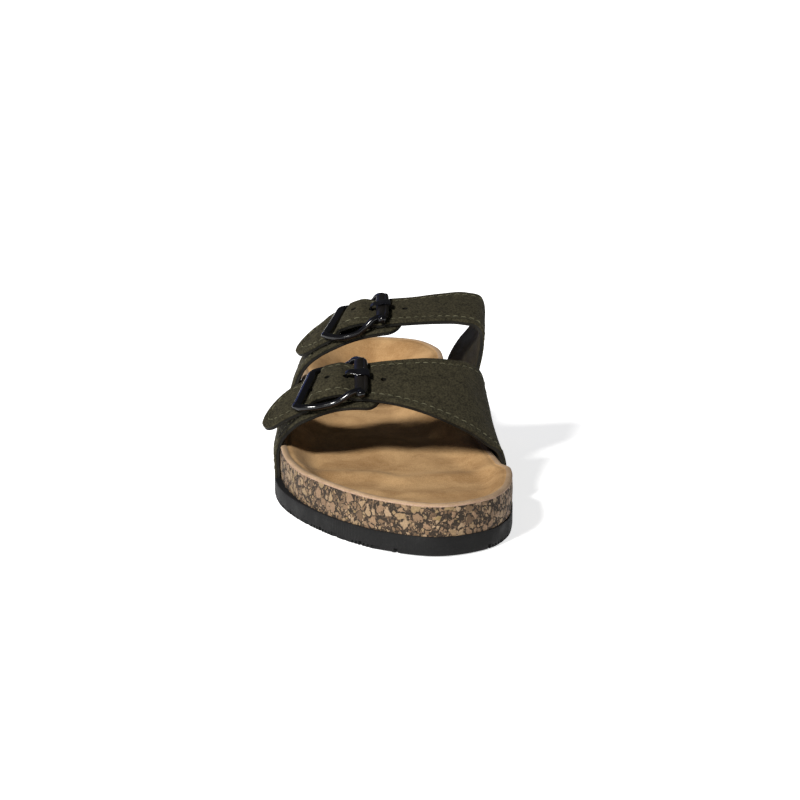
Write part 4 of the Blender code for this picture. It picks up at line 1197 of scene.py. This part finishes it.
def makeBuckle(name, node, face, rollerRun, buckle, spot):
    enamel, band = 0, 1
    wire = buckleWire(face, rollerRun, buckle, spot)
    shapes, slots = [], []
    for slot, group in ((enamel, [wire]), (band, rollerShapes()), (enamel, knobShapes())):
        shapes += group
        slots += [slot] * sum(len(faces) for _, faces in group)
    looks = [finishes["buckleEnamel"], finishes["buckleBand"]]
    piece = makePiece(name, joinShapes(shapes), looks, slots, sharpAngle=35, spot=spot)
    dress(piece, "buckle_enamel", node)


prongShape = {
    "thickness": 0.9, "root": 5.0, "tip": 1.2, "taper": (0.42, 0.45),  # start and length of the taper
    "wrap": (178, 155, 130, 105, 80),  # degrees round the roller
    "hook": ((1.6, 2.0), (0.4, 1.4), (0.0, 0.5), (0.0, -1.4)),  # before and above the hole
    "fullness": 3.2, "sides": 20, "steps": 48,
}


def makeProng(name, node, face, rollerRun, buckle, spot):
    shape = prongShape
    holeRun = rollerRun + buckle["holeFrom"]
    swell = float(face.hump(holeRun, 0.0)) * (strapBuild["humpEdgeRise"] + strapBuild["humpMiddleRise"])
    hole = spot.inverted() @ face.middleAt(holeRun, strapBuild["crown"] + swell)
    wide, high = (half + buckleShape["gap"] + shape["thickness"] / 2 for half in buckleShape["rollerHalf"])
    stops = [(wide * math.cos(angle), high * math.sin(angle)) for angle in np.radians(shape["wrap"])]
    stops += [(hole.x - before, hole.z + above) for before, above in shape["hook"]]
    run = runLengths(np.array(stops))
    line = smoothCurve(run, stops, np.linspace(0, run[-1], shape["steps"]))
    share = runLengths(line) / runLengths(line)[-1]
    taperStart, taperLength = shape["taper"]
    taper = np.clip((share - taperStart) / taperLength, 0, 1)
    widths = shape["root"] + (shape["tip"] - shape["root"]) * taper
    ahead = unit(np.gradient(line, axis=0))
    aside = hole.y * np.clip(line[:, 0] / hole.x, 0, 1)
    rings = []
    for k, (x, z) in enumerate(line):
        across, up = superRing(
            widths[k] / 2, shape["thickness"] / 2, shape["fullness"], shape["fullness"], shape["sides"]).T
        rings.append(np.column_stack([x - ahead[k, 1] * up, aside[k] + across, z + ahead[k, 0] * up]))
    piece = makePiece(name, tube(rings), [finishes["buckleEnamel"]], sharpAngle=40, spot=spot)
    dress(piece, "buckle_enamel", node)


def makeStrapSet(end, shape):
    buckle = shape["buckle"]
    face = StrapFace(strapSections(shape["seats"], shape["free"], innerSide), innerSide)
    rollerRun = face.nearest(buckle["rollerAt"])
    face.raiseHump(rollerRun, buckle)
    holeRuns = rollerRun + buckle["holeFrom"] + np.array(strapBuild["holeSteps"]) * buckle["holePitch"]
    line = makeStrap(end + "Strap", end + "_strap", face, strapBuild["tipRound"], shape["folds"], holeRuns)
    makeStitches(end + "StrapStitches", face, line)
    under = tabFace(face, shape, rollerRun)
    line = makeStrap(end + "StrapTab", end + "_strap_tab", under, strapBuild["tabRound"])
    makeStitches(end + "TabStitches", under, line)
    spot = bucklePlace(face, rollerRun, buckle["length"])
    makeBuckle(end + "Buckle", end + "_buckle_frame", face, rollerRun, buckle, spot)
    makeProng(end + "Prong", end + "_buckle_prong", face, rollerRun, buckle, spot)


makeOutsole()
makeCork()
makeInsole()
makeStrapSet("front", frontStrap)
makeStrapSet("rear", rearStrap)
print("sandal built")


# Floor, light and the photograph's camera

studio = {
    "floorColour": (0.90, 0.90, 0.90), "floorShade": 0.985, "floorGrain": 3.0, "floorSize": 14.0,
    "floorGlow": 0.75,
    "world": (0.96, 0.98, 1.0), "worldStrength": 0.085, "mirroredStrength": 0.05,
    "sun": {
        "azimuth": -40.0, "elevation": 35.5, "spread": 10.0, "strength": 4.35, "colour": (1.0, 0.985, 0.955)},
    "coolWindow": {"spot": (-0.85, 1.4, 0.62), "size": 0.8, "watts": 0.8, "colour": (0.22, 0.30, 1.0)},
    "aim": (0.0, 0.0, 0.05),
}
photoView = {
    "target": (6.5, 2.5, 30.0), "azimuth": -5.04, "elevation": 12.07, "distance": 1000.0,
    "focalPixels": 2200.9, "framePixels": 800.0, "axisPixel": (391.3, 413.5),
}


def makeFloor():
    size = studio["floorSize"]
    mesh = bpy.data.meshes.new("studioFloor")
    corners = [(-size, -size, 0), (size, -size, 0), (size, size, 0), (-size, size, 0)]
    mesh.from_pydata(corners, [], [(0, 1, 2, 3)])
    material, tree, shader, where = newMaterial("paleFloor", {
        "Specular IOR Level": 0.2, "Roughness": 0.9,
        "Emission Color": (1.0, 1.0, 1.0, 1.0), "Emission Strength": studio["floorGlow"]})
    pale = studio["floorColour"]
    tone = noise(tree, where, studio["floorGrain"], detail=2.0)["Fac"]
    shaded = [c * studio["floorShade"] for c in pale]
    feed(tree, shader, {"Base Color": mixColour(tree, tone, shaded, pale)})
    mesh.materials.append(material)
    addObject("studioFloor", mesh)


def towards(azimuth, elevation):  # from the shoe to a viewer or a light; azimuth 0 is in front of the toe
    azimuth, elevation = math.radians(azimuth), math.radians(elevation)
    level = math.cos(elevation)
    return Vector((math.sin(azimuth) * level, -math.cos(azimuth) * level, math.sin(elevation)))


def addLamp(name, kind, strength, colour, back):
    light = bpy.data.lights.new(name, kind)
    light.energy, light.color = strength, colour
    lamp = addObject(name, light)
    lamp.rotation_euler = back.to_track_quat("Z", "Y").to_euler()
    return lamp


def makeLight():
    world = bpy.data.worlds.new("studioWorld")
    bpy.context.scene.world = world
    world.use_nodes = True
    tree = world.node_tree
    mirrored = place(tree, "LightPath", {})["Is Glossy Ray"]  # gloss shows a darker room
    dimmed = times(tree, mirrored, studio["worldStrength"] - studio["mirroredStrength"])
    strength = maths(tree, "SUBTRACT", studio["worldStrength"], dimmed)
    feed(tree, tree.nodes["Background"], {"Color": (*studio["world"], 1.0), "Strength": strength})
    sun, window = studio["sun"], studio["coolWindow"]
    back = towards(sun["azimuth"], sun["elevation"])
    key = addLamp("keySun", "SUN", sun["strength"], sun["colour"], back)
    key.data.angle = math.radians(sun["spread"])
    back = Vector(window["spot"]) - Vector(studio["aim"])
    lamp = addLamp("coolWindow", "AREA", window["watts"], window["colour"], back)
    lamp.data.size = window["size"]
    lamp.location = window["spot"]


def makeCamera():
    back = towards(photoView["azimuth"], photoView["elevation"])
    camera = bpy.data.cameras.new("photoCamera")
    pixels = photoView["framePixels"]
    camera.lens = camera.sensor_width * photoView["focalPixels"] / pixels
    camera.shift_x = (pixels / 2 - photoView["axisPixel"][0]) / pixels
    camera.shift_y = (photoView["axisPixel"][1] - pixels / 2) / pixels
    seat = addObject("photoCamera", camera)
    seat.location = (Vector(photoView["target"]) + back * photoView["distance"]) * mm
    seat.rotation_euler = (-back).to_track_quat("-Z", "Y").to_euler()
    bpy.context.scene.camera = seat


makeFloor()
makeLight()
makeCamera()
bpy.context.scene.view_settings.view_transform = "Standard"
print("studio set")

bpy.context.view_layer.update()
